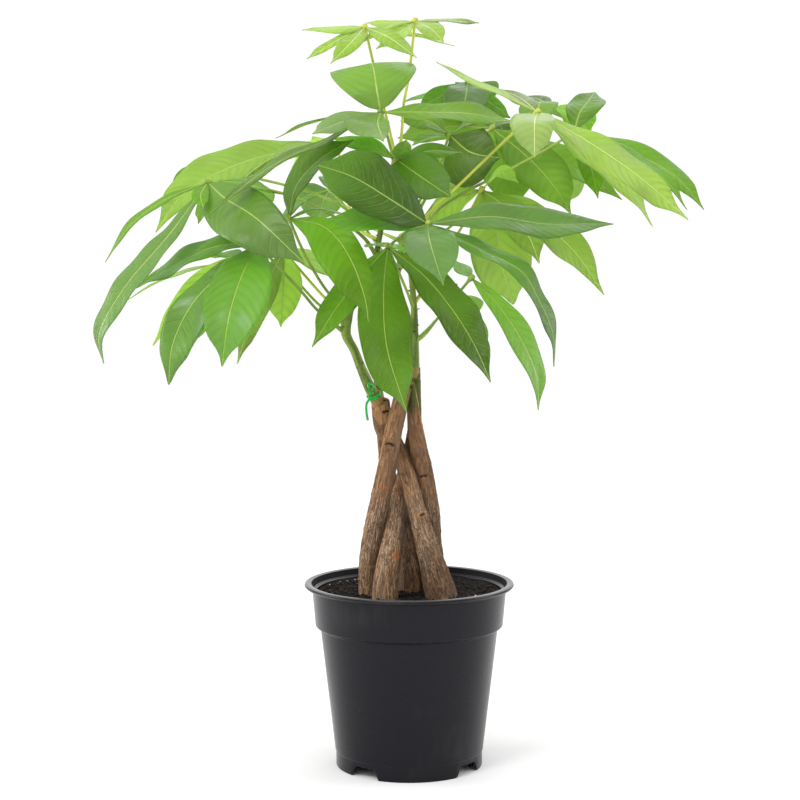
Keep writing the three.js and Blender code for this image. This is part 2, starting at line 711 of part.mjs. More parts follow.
// One leaflet: a thin arched blade, folded along its midrib, split into triangles alike on both faces.
function bladeSolid(hub, { path, wide, lean, fold: foldAngle, skew = 0, peak = 1.1, full = 0.85 }) {
  const points = [hub, ...path].map(seen);
  const outwards = new THREE.Vector3().subVectors(points[1], points[0]).normalize();
  points[0].addScaledVector(outwards, BLADE_ROOT_SINK);
  const curve = new THREE.CatmullRomCurve3(points, false, "centripetal");
  const heading = new THREE.Vector3().subVectors(curve.getPoint(1), curve.getPoint(0));
  const side = new THREE.Vector3(heading.y, -heading.x, 0).normalize();
  const near = heading.x > 0 ? 1 : -1;
  const turn = THREE.MathUtils.degToRad(lean) * near;
  const fold = THREE.MathUtils.degToRad(foldAngle);
  const vertices = [];
  const corner = new THREE.Vector3();
  const stations = curve.getLength() > SHORT_BLADE ? BLADE_STATIONS : SHORT_BLADE_STATIONS;
  for (const share of stations) {
    const centre = curve.getPointAt(share);
    const along = curve.getTangentAt(share);
    const across = side.clone().addScaledVector(along, -side.dot(along)).normalize();
    across.applyAxisAngle(along, turn);
    const face = new THREE.Vector3().crossVectors(across, along).normalize();
    const left = halfWidthAt(share, wide * (1 - skew * near), peak, full);
    const right = halfWidthAt(share, wide * (1 + skew * near), peak, full);
    const section = [
      [-left * Math.cos(fold), left * Math.sin(fold)],
      [0, 0],
      [right * Math.cos(fold), right * Math.sin(fold)],
      [right * Math.cos(fold), right * Math.sin(fold) - BLADE_THICKNESS],
      [0, -BLADE_THICKNESS],
      [-left * Math.cos(fold), left * Math.sin(fold) - BLADE_THICKNESS],
    ];
    for (const [sideways, outwards] of section) {
      corner.copy(centre).addScaledVector(across, sideways).addScaledVector(face, outwards);
      vertices.push(corner.x, corner.y, corner.z);
    }
  }
  const index = [];
  const ring = 6;
  const last = (stations.length - 1) * ring;
  for (let start = 0; start < last; start += ring) {
    for (const column of [0, 1]) {
      const [near, beside] = [start + column, start + column + 1];
      index.push(near, beside, beside + ring, near, beside + ring, near + ring);
      const [under, underBeside] = [start + 5 - column, start + 4 - column];
      index.push(under, underBeside + ring, underBeside, under, under + ring, underBeside + ring);
    }
    index.push(start + 2, start + 3, start + 3 + ring, start + 2, start + 3 + ring, start + 2 + ring);
    index.push(start + 5, start, start + ring, start + 5, start + ring, start + 5 + ring);
  }
  index.push(0, 5, 4, 0, 4, 1, 1, 4, 3, 1, 3, 2);
  index.push(last, last + 4, last + 5, last, last + 1, last + 4);
  index.push(last + 1, last + 3, last + 4, last + 1, last + 2, last + 3);
  const geometry = new THREE.BufferGeometry();
  geometry.setAttribute("position", new THREE.Float32BufferAttribute(vertices, 3));
  geometry.setIndex(index);
  return solidOf(geometry);
}

// One palmate leaf: its stalk, the hub at the stalk's end, and the blades that spread from it.
function leafSolid({ stalk, hub, blades }) {
  const points = [...stalk, hub].map(seen);
  const end = points[points.length - 1];
  const beyond = new THREE.Vector3().subVectors(end, points[points.length - 2]).setLength(HUB_HEIGHT);
  const curve = new THREE.CatmullRomCurve3([...points, end.clone().add(beyond)], false, "centripetal");
  const hubShare = 1 - (2.4 * HUB_HEIGHT) / curve.getLength();
  const radiusAt = (share) => {
    const thin = THREE.MathUtils.lerp(STALK_FOOT_RADIUS, STALK_RADIUS, Math.min(1, share * 4));
    return share > hubShare ? HUB_RADIUS : thin;
  };
  const steps = 2 + 2 * stalk.length;
  const solid = solidOf(limbGeometry(curve, radiusAt, STALK_SIDES, steps));
  return blades.reduce((leaf, blade) => leaf.add(bladeSolid(hub, blade)), solid);
}

// The pot's wall, floor and foot ring as one turned shape, with notches and drain holes cut through.
function potSolid() {
  const wall = POT_WALL;
  const profile = [
    [0, FLOOR_UNDERSIDE],
    [FOOT_RADIUS - wall - 1, FLOOR_UNDERSIDE],
    [FOOT_RADIUS - wall, FLOOR_UNDERSIDE - 1],
    [FOOT_RADIUS - wall, 0],
    [FOOT_RADIUS, 0],
    [FOOT_RADIUS + 0.1, FOOT_RING_HEIGHT - 0.5],
    [FOOT_RADIUS + 0.6, FOOT_RING_HEIGHT],
    [BODY_TOP_RADIUS, BODY_TOP_HEIGHT],
    [BAND_FOOT_RADIUS, BAND_FOOT_HEIGHT],
    [BAND_TOP_RADIUS, RIM_HEIGHT - 4.4],
    [RIM_RADIUS - 1.4, RIM_HEIGHT - 3.2],
    [RIM_RADIUS, RIM_HEIGHT - 1.7],
    [RIM_RADIUS - 0.5, RIM_HEIGHT - 0.5],
    [RIM_RADIUS - 1.7, RIM_HEIGHT],
    [RIM_RADIUS - 5.1, RIM_HEIGHT - 0.4],
    [BAND_TOP_RADIUS - 1.2, LEDGE_HEIGHT + 0.6],
    [BAND_TOP_RADIUS - wall - 1.6, LEDGE_HEIGHT],
    [BAND_FOOT_RADIUS - wall, BAND_FOOT_HEIGHT + 1],
    [BODY_TOP_RADIUS - wall, BODY_TOP_HEIGHT + 1],
    [FOOT_RADIUS - wall + 0.4, FLOOR_TOP + 1],
    [FOOT_RADIUS - wall - 0.6, FLOOR_TOP],
    [0, FLOOR_TOP],
  ];
  let pot = turnedSolid(profile, POT_SIDES);
  for (let i = 0; i < NOTCH_COUNT; i += 1) {
    const angle = THREE.MathUtils.degToRad(FIRST_NOTCH_ANGLE + (i * 360) / NOTCH_COUNT);
    pot = pot.subtract(notchSolid(angle)).subtract(drainSolid(angle));
  }
  return pot;
}

// A profile of radius and height, turned round the Z axis.
function turnedSolid(profile, sides) {
  const points = profile.map(([radius, height]) => new THREE.Vector2(radius, height));
  return solidOf(new THREE.LatheGeometry(points, sides).rotateX(Math.PI / 2));
}

// A foot ring notch, wider at the foot. Its angle is counted from the front, towards +X.
function notchSolid(angle) {
  const outline = new THREE.Shape([
    new THREE.Vector2(-NOTCH_FOOT_WIDTH / 2 - 0.6, -2),
    new THREE.Vector2(NOTCH_FOOT_WIDTH / 2 + 0.6, -2),
    new THREE.Vector2(NOTCH_TOP_WIDTH / 2, NOTCH_HEIGHT),
    new THREE.Vector2(-NOTCH_TOP_WIDTH / 2, NOTCH_HEIGHT),
  ]);
  const block = new THREE.ExtrudeGeometry(outline, { depth: 12, bevelEnabled: false });
  block.rotateX(Math.PI / 2);
  block.translate(0, -FOOT_RADIUS + 6, 0);
  block.rotateZ(angle);
  return solidOf(block);
}

// A drain hole through the floor.
function drainSolid(angle) {
  const hole = new THREE.CylinderGeometry(DRAIN_RADIUS, DRAIN_RADIUS, 8, 10);
  hole.rotateX(Math.PI / 2);
  hole.translate(0, -DRAIN_RING_RADIUS, (FLOOR_UNDERSIDE + FLOOR_TOP) / 2);
  hole.rotateZ(angle);
  return solidOf(hole);
}

// The soil: fills the pot with a slightly uneven surface.
function soilSolid() {
  const gap = CLEARANCE + POT_WALL;
  const profile = [
    [0, FLOOR_TOP + CLEARANCE],
    [FOOT_RADIUS - gap - 1, FLOOR_TOP + CLEARANCE],
    [BODY_TOP_RADIUS - gap, BODY_TOP_HEIGHT + 1.1],
    [BAND_FOOT_RADIUS - gap, BAND_FOOT_HEIGHT + 1.6],
    [SOIL_EDGE_RADIUS, SOIL_EDGE_HEIGHT],
  ];
  for (let ring = 1; ring <= SOIL_RINGS; ring += 1) {
    const share = ring / SOIL_RINGS;
    const dip = SOIL_DIP * Math.sin((share * Math.PI) / 2);
    profile.push([SOIL_EDGE_RADIUS * (1 - share), SOIL_EDGE_HEIGHT - dip]);
  }
  const points = profile.map(([radius, height]) => new THREE.Vector2(radius, height));
  const geometry = new THREE.LatheGeometry(points, SOIL_SIDES).rotateX(Math.PI / 2);
  const position = geometry.attributes.position;
  for (let i = 0; i < position.count; i += 1) {
    const [x, y, z] = [position.getX(i), position.getY(i), position.getZ(i)];
    const inside = Math.hypot(x, y) < SOIL_EDGE_RADIUS - 1;
    if (inside && z > BAND_FOOT_HEIGHT + 5) position.setZ(i, z + soilRelief(x, y));
  }
  return solidOf(geometry);
}

// Height of the soil's small lumps.
function soilRelief(x, y) {
  return 0.8 * Math.sin(x * 0.31 + y * 0.17) * Math.cos(y * 0.29 - x * 0.12);
}

// A flat ribbon closed into a ring about the Y axis.
function ribbonRing(radius) {
  const [inner, outer] = [radius - RIBBON_THICKNESS / 2, radius + RIBBON_THICKNESS / 2];
  const half = RIBBON_WIDTH / 2;
  const corners = [
    [inner, -half],
    [outer, -half],
    [outer, half],
    [inner, half],
    [inner, -half],
  ];
  return new THREE.LatheGeometry(corners.map(([x, y]) => new THREE.Vector2(x, y)), 18);
}

// The ribbon that ties the left shoot: a ring round the shoot, a bow above and a tail below.
function tieSolid() {
  const axis = new THREE.Vector3(...TIE_AXIS).normalize();
  const turn = new THREE.Quaternion().setFromUnitVectors(new THREE.Vector3(0, 1, 0), axis);
  const ring = ribbonRing(TIE_RADIUS).applyQuaternion(turn).translate(...TIE_CENTRE);
  const knot = new THREE.IcosahedronGeometry(KNOT_RADIUS, 0).translate(...KNOT_CENTRE);
  const bow = ribbonRing(BOW_RADIUS).scale(1, 1, BOW_STRETCH).translate(...BOW_CENTRE);
  const strip = new THREE.Shape([
    new THREE.Vector2(-RIBBON_THICKNESS / 2, -RIBBON_WIDTH / 2),
    new THREE.Vector2(RIBBON_THICKNESS / 2, -RIBBON_WIDTH / 2),
    new THREE.Vector2(RIBBON_THICKNESS / 2, RIBBON_WIDTH / 2),
    new THREE.Vector2(-RIBBON_THICKNESS / 2, RIBBON_WIDTH / 2),
  ]);
  const path = new THREE.CatmullRomCurve3(TAIL.map((point) => new THREE.Vector3(...point)));
  const tail = new THREE.ExtrudeGeometry(strip, { extrudePath: path, steps: 8, bevelEnabled: false });
  return [knot, bow, tail].reduce((tie, part) => tie.add(solidOf(part)), solidOf(ring));
}

// Each trunk starts below the soil, and gives way to the trunks before it where they press together.
function trunkRows(name) {
  const rows = TRUNKS[name];
  const [across, depth, up, radius] = rows[0];
  return [[across * 0.95, depth, up - ROOT_DEPTH, radius], ...rows];
}

const group = new THREE.Group();

// Adds one named piece with its finish.
function addPiece(name, solid, finish) {
  const mesh = new THREE.Mesh(geometryOf(solid), new THREE.MeshStandardMaterial(FINISHES[finish]));
  mesh.name = name;
  group.add(mesh);
}

addPiece("pot", potSolid(), "pot");

const trunks = Object.keys(TRUNKS);
const grownTrunks = trunks.map((name) => stemSolid(trunkRows(name), TRUNK_SIDES, TRUNK_STEPS, CLEARANCE));
const grownShoots = Object.values(SHOOTS).map((rows) => stemSolid(rows, SHOOT_SIDES, SHOOT_STEPS, CLEARANCE));

let soil = soilSolid();
for (const grown of grownTrunks) soil = soil.subtract(grown);
addPiece("soil", largestBody(soil), "soil");

trunks.forEach((name, place) => {
  let trunk = stemSolid(trunkRows(name), TRUNK_SIDES, TRUNK_STEPS, 0);
  for (const grown of grownTrunks.slice(0, place)) trunk = trunk.subtract(grown);
  addPiece(name, largestBody(trunk), "bark");
});

for (const [name, rows] of Object.entries(SHOOTS)) {
  let shoot = stemSolid(rows, SHOOT_SIDES, SHOOT_STEPS, 0);
  for (const grown of grownTrunks) shoot = shoot.subtract(grown);
  addPiece(name, largestBody(shoot), "stem");
}

addPiece("tie", tieSolid(), "tie");

for (const [name, leaf] of Object.entries(LEAVES)) {
  let solid = leafSolid(leaf);
  for (const grown of grownShoots) solid = solid.subtract(grown);
  addPiece(name, largestBody(solid), leaf.tone);
}

export default group;
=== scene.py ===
"""Potted money tree: the finished pot, soil, braided trunks, green shoots, leaves and studio."""

import math
import random

import bmesh
import bpy
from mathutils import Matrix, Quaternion, Vector, noise


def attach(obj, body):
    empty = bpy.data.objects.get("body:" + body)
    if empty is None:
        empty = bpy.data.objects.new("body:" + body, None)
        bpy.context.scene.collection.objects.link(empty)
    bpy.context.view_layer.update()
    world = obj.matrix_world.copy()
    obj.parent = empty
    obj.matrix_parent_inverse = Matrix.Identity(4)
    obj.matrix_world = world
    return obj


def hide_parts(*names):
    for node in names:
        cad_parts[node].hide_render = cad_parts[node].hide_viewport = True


bl_info = {
    "name": "Potted money tree",
    "version": (1, 0, 0),
    "blender": (4, 5, 0),
    "location": "View3D > Sidebar > Money tree",
    "description": "Builds the finished pot, soil, trunks, shoots and leaves over the packed part",
    "category": "Add Mesh",
}

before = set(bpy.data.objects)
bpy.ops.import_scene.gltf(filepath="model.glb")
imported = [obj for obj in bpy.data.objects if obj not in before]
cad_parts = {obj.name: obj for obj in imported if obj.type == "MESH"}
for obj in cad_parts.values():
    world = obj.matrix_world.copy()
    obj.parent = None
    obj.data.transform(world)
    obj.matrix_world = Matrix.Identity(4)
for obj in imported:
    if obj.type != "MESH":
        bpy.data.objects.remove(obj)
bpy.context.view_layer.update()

# The plant is modelled in millimetres, as its source is, and each finished mesh is scaled to metres.
METRE = 0.001

# The plant's points are readings in the front view, taken by an eye that stands straight in front.
EYE_DISTANCE = 1283
EYE_HEIGHT = 362.5
EYE_DROP = 4.47
EYE_SHIFT = -0.0115

# Pot: radius and height of the outside, then of the inside.
RIM_RADIUS = 75
RIM_HEIGHT = 131.8
BAND_TOP_RADIUS = 69.4
BAND_FOOT_RADIUS = 67.1
BAND_FOOT_HEIGHT = 101.4
BODY_TOP_RADIUS = 63.5
BODY_TOP_HEIGHT = 99.2
FOOT_RADIUS = 52.5
FOOT_RING_HEIGHT = 11.3
FOOT_EDGE_HEIGHT = 1.2
POT_WALL = 1.8
FLOOR_UNDERSIDE = 9.6
FLOOR_TOP = 11.6
LEDGE_HEIGHT = 126.4
NOTCH_COUNT = 4
FIRST_NOTCH_ANGLE = -37
NOTCH_FOOT_WIDTH = 23.6
NOTCH_TOP_WIDTH = 16.4
NOTCH_HEIGHT = 7.6
DRAIN_RADIUS = 5
DRAIN_RING_RADIUS = 38

# Soil: fills the pot to just under the ledge, and sinks a little towards the trunks.
SOIL_EDGE_RADIUS = 65.2
SOIL_EDGE_HEIGHT = 125.4
SOIL_DIP = 3.2
SOIL_FLOOR = 11.9
SOIL_FLOOR_RADIUS = 49.4
SOIL_SHOULDER = [(61.3, BODY_TOP_HEIGHT + 1.3), (64.9, BAND_FOOT_HEIGHT + 1.8)]
SOIL_EDGE_CALM = 4
SOIL_RINGS = 64
SOIL_SIDES = 200
ROOT_DEPTH = 34

# Blades and stalks.
BLADE_THICKNESS = 0.45
BLADE_ROOT_HALF_WIDTH = 0.9
BLADE_TIP_HALF_WIDTH = 0.35
BLADE_ROOT_SINK = 1.6
STALK_FOOT_RADIUS = 1.7
STALK_RADIUS = 1.0
HUB_RADIUS = 2.2
HUB_HEIGHT = 1.6
HUB_SWELL_LENGTH = 5.0
RIB_RADIUS = 0.62
RIB_TAPER = 0.42
RIB_DROP = 0.55

# Side veins: the gap between two, how far each runs on as it nears the edge, more and more, and how much
# later those of one half start, as a share of the gap.
VEIN_SPACING = 7.5
VEIN_SWEEP = 0.55
VEIN_BEND = 0.5
VEIN_SHIFT = 0.42

# Millimetres over one unit of the blades' map "size".
MAP_SPAN = 100

# Where the light comes from that is painted into the stems' and blades' colours, lighter on faces turned
# towards it and darker on those turned away: the upper left, in front.
LIGHT_FROM = Vector((-0.5, -0.35, 0.79))

# Sockets of a colour Mix node, whose names it has more than once.
MIX_SHARE = 0
MIX_FIRST = 6
MIX_SECOND = 7
MIX_RESULT = 2

# Tie: a flat plastic ribbon round the foot of the left shoot. Each of its turns has a lift along the shoot,
# a width and a slant.
RIBBON_THICKNESS = 0.5
RIBBON_WIDTH = 3
TIE_RADIUS = 5.2
TIE_CENTRE = (-24.8, -9, 265.9)
TIE_AXIS = (-0.44, -0.15, 0.885)
KNOT_CENTRE = (-27.4, -14.6, 264.8)
KNOT_RADIUS = 1.7
KNOT_HEIGHT = 1.8
KNOT_PLEATS = 9
BOW_CENTRE = (-27.6, -16.4, 271.6)
BOW_CORNERS = [(1.2, 0, -4.4), (-2.3, 0.6, 4.6), (2.7, -0.6, 2.0)]
TIE_TURNS = [(-0.8, 1.8, 0.0), (0.9, 1.5, 0.54)]
TURN_STEPS = 48
TAIL = [(-27.4, -15.2, 264.6), (-29.8, -15.6, 261), (-30, -15, 255), (-29, -15.2, 249)]

# What a blade has unless its row says otherwise. skew widens the half that is nearer the eye, a low peak puts
# the widest place near the root, a low full makes the outline blunter, light is how much lighter or darker
# the blade is painted, partly its own tone and partly painted light and shade, 0 where it is usual, and grey
# is how far it is painted towards a pale grey-green, partly its own colour and partly painted sheen.
PLAIN = {"skew": 0, "peak": 1.1, "full": 0.85, "light": 0, "grey": 0}


def blade(wide, lean, fold, *path, **apart):
    """A blade's row: its width, how far it leans and folds, its path, and what sets it apart from PLAIN."""
    return path, wide, lean, fold, {**PLAIN, **apart}


# Leaves: the tone, the stalk's points, the last of which is the hub that carries the blades, and the blades.
# All points are across, depth and up in the front view.
LEAVES = {
    "leaf_01": ("young", [(-10, -18, 434), (-14, 6, 453), (-18, 24, 469), (-25, 30, 498), (-31, 28, 524)], [
        blade(14, 28, 2, (-45, 24, 524), (-61, 20, 523), (-75, 16, 522),
              skew=0.4, peak=0.65, light=0.5, grey=0.2),
        blade(13, 18, 4, (-50, 10, 515), (-72, -2, 502)),
        blade(16, 10, 4, (-41, -4, 513), (-55, -22, 499), light=0.1),
        blade(14, 24, 2, (-8, 60, 521), (11, 68, 517), (32, 72, 511), light=0.2, grey=0.1),
        blade(15, 28, 4, (-13, -10, 516), (5, -32, 503)),
        blade(20, 0, 0, (-37, 60, 523), (-43, 92, 518)),
    ]),
    "leaf_02": ("young", [
        (-7, -16, 433), (-5, 8, 454), (-4, 18, 469), (-1, 34, 486), (1, 42, 500), (4, 46, 528),
    ], [
        blade(15, 20, 2, (22, 46, 529), (36, 46, 528), (49, 46, 527), light=-0.5),
        blade(17, 20, 4, (15, 22, 523), (24, 6, 514), light=0.1, grey=0.2),
        blade(13, 30, 4, (-8, 24, 519), (-23, 10, 509), light=0.7, grey=0.6),
        blade(11, 10, 4, (-13, 28, 525), (-34, 6, 513)),
        blade(20, 0, 0, (11, 82, 528), (19, 112, 522)),
        blade(13, 28, 2, (-13, 52, 527), (-30, 60, 527), light=0.2, grey=0.2),
    ]),
    "leaf_03": ("top", [(-11, -22, 432), (-15, -34, 447), (-20, -42, 465)], [
        blade(60, 8, -5, (-23, -38, 482), (-25, -24, 495), (-27, 2, 498), (-30, 16, 483),
              full=0.55, light=0.2, grey=0.2),
        blade(20, 6, 6, (-43, -38, 463), (-66, -30, 459), (-94, -18, 447), light=-0.2),
        blade(20, 8, 6, (-56, -62, 447), (-98, -78, 427), (-141, -88, 394), light=-0.6),
        blade(22, 24, 4, (-45, -66, 459), (-68, -88, 450), light=0.4, grey=0.6),
        blade(30, 0, 6, (-22, -76, 457), (-18, -104, 445), skew=0.5, grey=0.4),
        blade(27, 34, 6, (15, -44, 465), (43, -40, 464), (75, -36, 458), light=-0.1, grey=0.1),
    ]),
    "leaf_04": ("dark", [(-9, -20, 429), (-9, -52, 432)], [
        blade(38, 38, 8, (8, -72, 420), (29, -86, 406), skew=0.05, peak=0.75, full=0.6, light=-0.3),
        blade(20, 30, 6, (-26, -50, 441), (-42, -42, 445), (-54, -36, 447), light=1.2),
        blade(13, 0, 8, (-5, -62, 438), (-2, -68, 446), light=0.4),
        blade(18, 34, 6, (15, -44, 438), (37, -36, 437), light=0.1),
    ]),
    "leaf_05": ("light", [(-21, 2, 375), (-36, 14, 384), (-46, 34, 414), (-50, 55, 441)], [
        blade(43, 34, 8, (-87, 46, 438), (-130, 26, 425), (-161, 8, 406), (-179, -2, 381), grey=0.1),
        blade(34, 45, 8, (-68, 62, 436), (-83, 72, 426), full=0.6, light=2, grey=0.2),
        blade(34, -25, 8, (-87, 26, 438), (-118, -8, 419), skew=-0.3, grey=0.5),
        blade(36, 0, 8, (-52, 100, 445), (-56, 140, 438), light=0.6),
    ]),
    "leaf_06": ("mid", [
        (-23, 0, 364), (-33, -6, 378), (-77, -22, 404), (-112, -34, 413), (-142, -40, 416),
    ], [
        blade(16, 24, 6, (-118, -38, 416), (-91, -26, 408), light=0.1),
        blade(40, 52, 8, (-130, -64, 405), (-107, -96, 390), (-74, -110, 359),
              skew=0.2, peak=1, full=0.75, light=-0.3, grey=0.4),
        blade(23, 30, 6, (-169, -62, 380), (-203, -72, 340), (-220, -72, 308), (-217, -64, 288),
              peak=1.2, grey=0.8),
        blade(14, 26, 6, (-172, -40, 404), (-198, -42, 385), (-215, -40, 360), light=0.2),
        blade(12, 0, 6, (-147, -60, 407), (-145, -74, 398), light=0.2),
    ]),
    "leaf_07": ("mid", [(-43, -14, 325), (-57, -34, 338), (-73, -50, 364), (-85, -55, 391)], [
        blade(30, 44, 8, (-80, -56, 413), (-63, -61, 432), (-39, -64, 446),
              skew=-0.15, peak=0.95, light=-0.3),
        blade(31, 44, 8, (-59, -78, 384), (-42, -96, 363), (-31, -100, 333), (-29, -96, 318),
              skew=0.3, light=0.3),
        blade(20, 8, 6, (-66, -50, 397), (-45, -44, 394)),
    ]),
    "leaf_08": ("light", [(-43, -14, 320), (-60, -10, 335), (-76, -10, 353), (-89, -20, 368)], [
        blade(27, 0, 6, (-89, -28, 344), (-91, -34, 314), peak=0.9, light=0.8),
        blade(30, 35, 6, (-66, -10, 360), (-45, 0, 349), light=0.3),
        blade(26, 38, 6, (-132, -30, 354), (-162, -38, 328), (-182, -40, 301), light=1),
        blade(20, 24, 6, (-105, -45, 335), (-116, -55, 308), (-122, -58, 288),
              peak=0.9, light=-0.1, grey=0.2),
        blade(16, 8, 6, (-144, -14, 357), (-176, -12, 347), (-202, -10, 332), light=0.1, grey=0.3),
    ]),
    "leaf_09": ("dark", [
        (-47, -15, 311), (-65, -34, 326), (-77, -48, 340), (-91, -62, 355), (-107, -72, 373),
    ], [
        blade(34, 32, 8, (-137, -60, 371), (-169, -48, 356), (-195, -40, 341), light=0.2),
        blade(30, 42, 8, (-132, -84, 353), (-154, -94, 330), (-168, -98, 301), (-171, -96, 273),
              skew=0.2, peak=1.45, full=0.65, light=0.1, grey=0.4),
        blade(44, 8, 6, (-119, -98, 349), (-128, -116, 320), (-133, -122, 286),
              skew=0.1, peak=0.95, light=0.7, grey=0.3),
    ]),
    "leaf_10": ("mid", [(3, 0, 328), (-4, -20, 345), (-11, -38, 361), (-15, -48, 371)], [
        blade(42, 2, 6, (-18, -68, 340), (-16, -74, 301), (-2, -68, 254), light=-0.1),
        blade(36, 34, 8, (12, -62, 349), (33, -70, 323), (47, -72, 300), (58, -68, 275), light=-0.5),
        blade(26, 34, 8, (-35, -62, 349), (-52, -70, 327), (-69, -72, 300)),
        blade(16, 10, 6, (-22, -28, 373), (-29, -6, 371), light=0.4, grey=0.2),
        blade(24, 20, 6, (2, -24, 367), (18, 4, 357), light=0.9, grey=0.3),
    ]),
    "leaf_11": ("deep", [(-22, 0, 360), (-14, -26, 371), (-1, -68, 382), (13, -105, 387)], [
        blade(44, 62, 6, (-13, -118, 404), (-40, -124, 420), (-64, -118, 428),
              skew=-0.05, peak=1.25, full=0.5, light=-0.7),
        blade(30, 36, 6, (-22, -112, 390), (-61, -110, 390), light=0.6),
        blade(35, 0, 8, (15, -144, 373), (24, -178, 344), peak=1, full=1, grey=0.5),
        blade(38, 32, 6, (57, -112, 392), (96, -108, 387), (124, -104, 387), (144, -100, 387),
              light=-0.1, grey=0.3),
        blade(22, 24, 6, (53, -120, 368), (80, -128, 353), (92, -130, 333), (102, -126, 309),
              (103, -122, 286), peak=0.85, full=0.8, light=-0.2, grey=0.3),
    ]),
    "leaf_12": ("mid", [(5, 4, 304), (20, -8, 320), (34, -20, 337), (44, -25, 349)], [
        blade(24, 32, 8, (61, -36, 332), (79, -42, 306), (91, -42, 278), (92, -40, 255),
              peak=0.95, light=0.7, grey=0.5),
        blade(12, 10, 4, (39, -10, 354), (33, 8, 361), light=1.4, grey=1),
    ]),
    "leaf_13": ("light", [(3, 0, 330), (8, 2, 337), (22, 6, 360), (39, 10, 388), (51, 12, 411)], [
        blade(50, 14, 6, (61, 2, 386), (65, -6, 360), (74, -12, 330),
              peak=1.15, full=0.6, light=0.3, grey=0.2),
        blade(28, 36, 6, (72, -10, 395), (85, -16, 377), (92, -20, 359)),
        blade(34, 36, 8, (85, -2, 394), (117, 0, 367), (138, -5, 337)),
        blade(22, 60, 6, (34, 18, 404), (13, 16, 387), light=0.5),
        blade(16, 30, 4, (64, 2, 424), (77, -2, 416), light=0.8),
    ]),
    "leaf_14": ("young", [(0, -12, 373), (12, -14, 392), (32, -18, 411), (76, -22, 453), (90, -25, 465)], [
        blade(16, 12, 2, (67, -15, 477), (44, -8, 487), (19, 0, 500), grey=0.1),
        blade(16, 10, 2, (78, 5, 475), (64, 25, 481), light=-0.9),
        blade(31, 0, 6, (88, -60, 457), (88, -76, 445), (88, -88, 434),
              skew=-0.1, peak=0.8, full=0.6, light=-0.2, grey=0.4),
        blade(36, 36, 6, (125, -35, 445), (162, -42, 420), (197, -45, 390),
              skew=0.15, light=-0.1, grey=0.1),
        blade(34, 36, 6, (124, -12, 437), (154, -14, 413), (172, -15, 385), light=-0.1, grey=0.1),
    ]),
    "leaf_15": ("mid", [
        (1, -6, 371), (22, 4, 398), (65, 20, 422), (86, 28, 433), (108, 36, 446), (116, 38, 452),
    ], [
        blade(27, 10, 2, (120, 58, 465), (126, 78, 473), (130, 98, 479), peak=1.3, full=0.6, light=-0.2),
        blade(32, 32, 6, (157, 40, 437), (188, 38, 420), (208, 30, 397)),
        blade(24, 14, 6, (152, 20, 437), (180, 16, 418), (196, 10, 397)),
        blade(18, 14, 6, (127, 16, 430), (133, 0, 405)),
    ]),
    "leaf_16": ("top", [(-2, -3, 377), (11, 18, 404), (32, 40, 428), (58, 62, 454)], [
        blade(36, 42, 8, (85, 38, 432), (103, 24, 412), (114, 14, 394), light=0.2),
        blade(34, 36, 8, (95, 56, 437), (127, 50, 420), (150, 44, 404), light=0.1, grey=0.1),
        blade(40, 30, 8, (68, 42, 428), (77, 34, 399), full=0.7, light=0.2),
        blade(34, 42, 8, (30, 66, 455), (-8, 60, 447)),
        blade(34, 0, 8, (62, 110, 458), (67, 150, 451), light=-0.9),
    ]),
    "leaf_17": ("top", [(-4, -8, 373), (6, 2, 400), (20, 16, 426), (28, 25, 449)], [
        blade(14, 15, 6, (15, 20, 448), (2, 12, 442), light=0.2),
        blade(18, 18, 6, (46, 30, 459), (66, 28, 458), light=-0.5),
        blade(46, 75, 8, (43, 14, 437), (64, 6, 433), skew=0.15, light=-1),
        blade(26, 40, 6, (13, 24, 459), (-6, 20, 459), light=-0.2),
    ]),
    "leaf_18": ("deep", [(-4, 64, 375), (15, 82, 411), (37, 100, 456), (41, 105, 486)], [
        blade(34, 0, 6, (40, 84, 478), (36, 56, 459), peak=0.9, full=0.6, light=0.1, grey=0.5),
        blade(26, 55, 6, (26, 100, 478), (6, 88, 468), skew=0.35, light=0.6),
        blade(28, 50, 8, (54, 98, 474), (71, 88, 461), skew=0.5, peak=0.9, light=0.7),
        blade(34, 0, 6, (47, 136, 484), (51, 166, 470), light=0.2, grey=0.6),
        blade(14, 20, 4, (22, 114, 480), (-5, 106, 472), light=0.8),
    ]),
    "leaf_19": ("top", [(-5, 61, 364), (29, 72, 411), (71, 90, 452), (100, 98, 469)], [
        blade(18, 15, 6, (88, 120, 475), (76, 130, 475), light=-1),
        blade(30, 0, 6, (92, 80, 472), (90, 56, 454), light=-0.1, grey=0.2),
        blade(30, 32, 6, (116, 92, 464), (128, 84, 451), light=1, grey=0.1),
        blade(34, 0, 6, (107, 135, 468), (114, 164, 458)),
    ]),
    "leaf_20": ("mid", [(-10, 58, 356), (-49, 80, 400), (-123, 95, 422)], [
        blade(34, 40, 8, (-147, 92, 418), (-168, 82, 404)),
        blade(34, 20, 8, (-136, 116, 409), (-149, 132, 387)),
        blade(34, 10, 8, (-112, 134, 413), (-101, 172, 397)),
        blade(32, 0, 8, (-132, 128, 429), (-143, 160, 430)),
    ]),
    "leaf_21": ("deep", [(-7, 68, 375), (-33, 96, 388), (-56, 115, 411)], [
        blade(34, 40, 8, (-75, 128, 405), (-94, 142, 388)),
        blade(34, 0, 8, (-61, 148, 402), (-64, 180, 388)),
        blade(34, 0, 8, (-49, 146, 419), (-42, 178, 422)),
        blade(34, 40, 8, (-33, 134, 415), (-8, 154, 405)),
    ]),
    "leaf_22": ("mid", [(-6, 67, 367), (22, 108, 407), (43, 125, 432)], [
        blade(34, 40, 8, (24, 142, 430), (2, 158, 418)),
        blade(34, 0, 8, (37, 152, 422), (33, 180, 405)),
        blade(34, 40, 8, (67, 138, 434), (90, 150, 426)),
        blade(30, 0, 8, (47, 152, 440), (51, 182, 441)),
    ]),
    "leaf_23": ("top", [(-6, 58, 356), (50, 90, 400), (103, 108, 427)], [
        blade(32, 40, 8, (90, 122, 420), (74, 136, 402)),
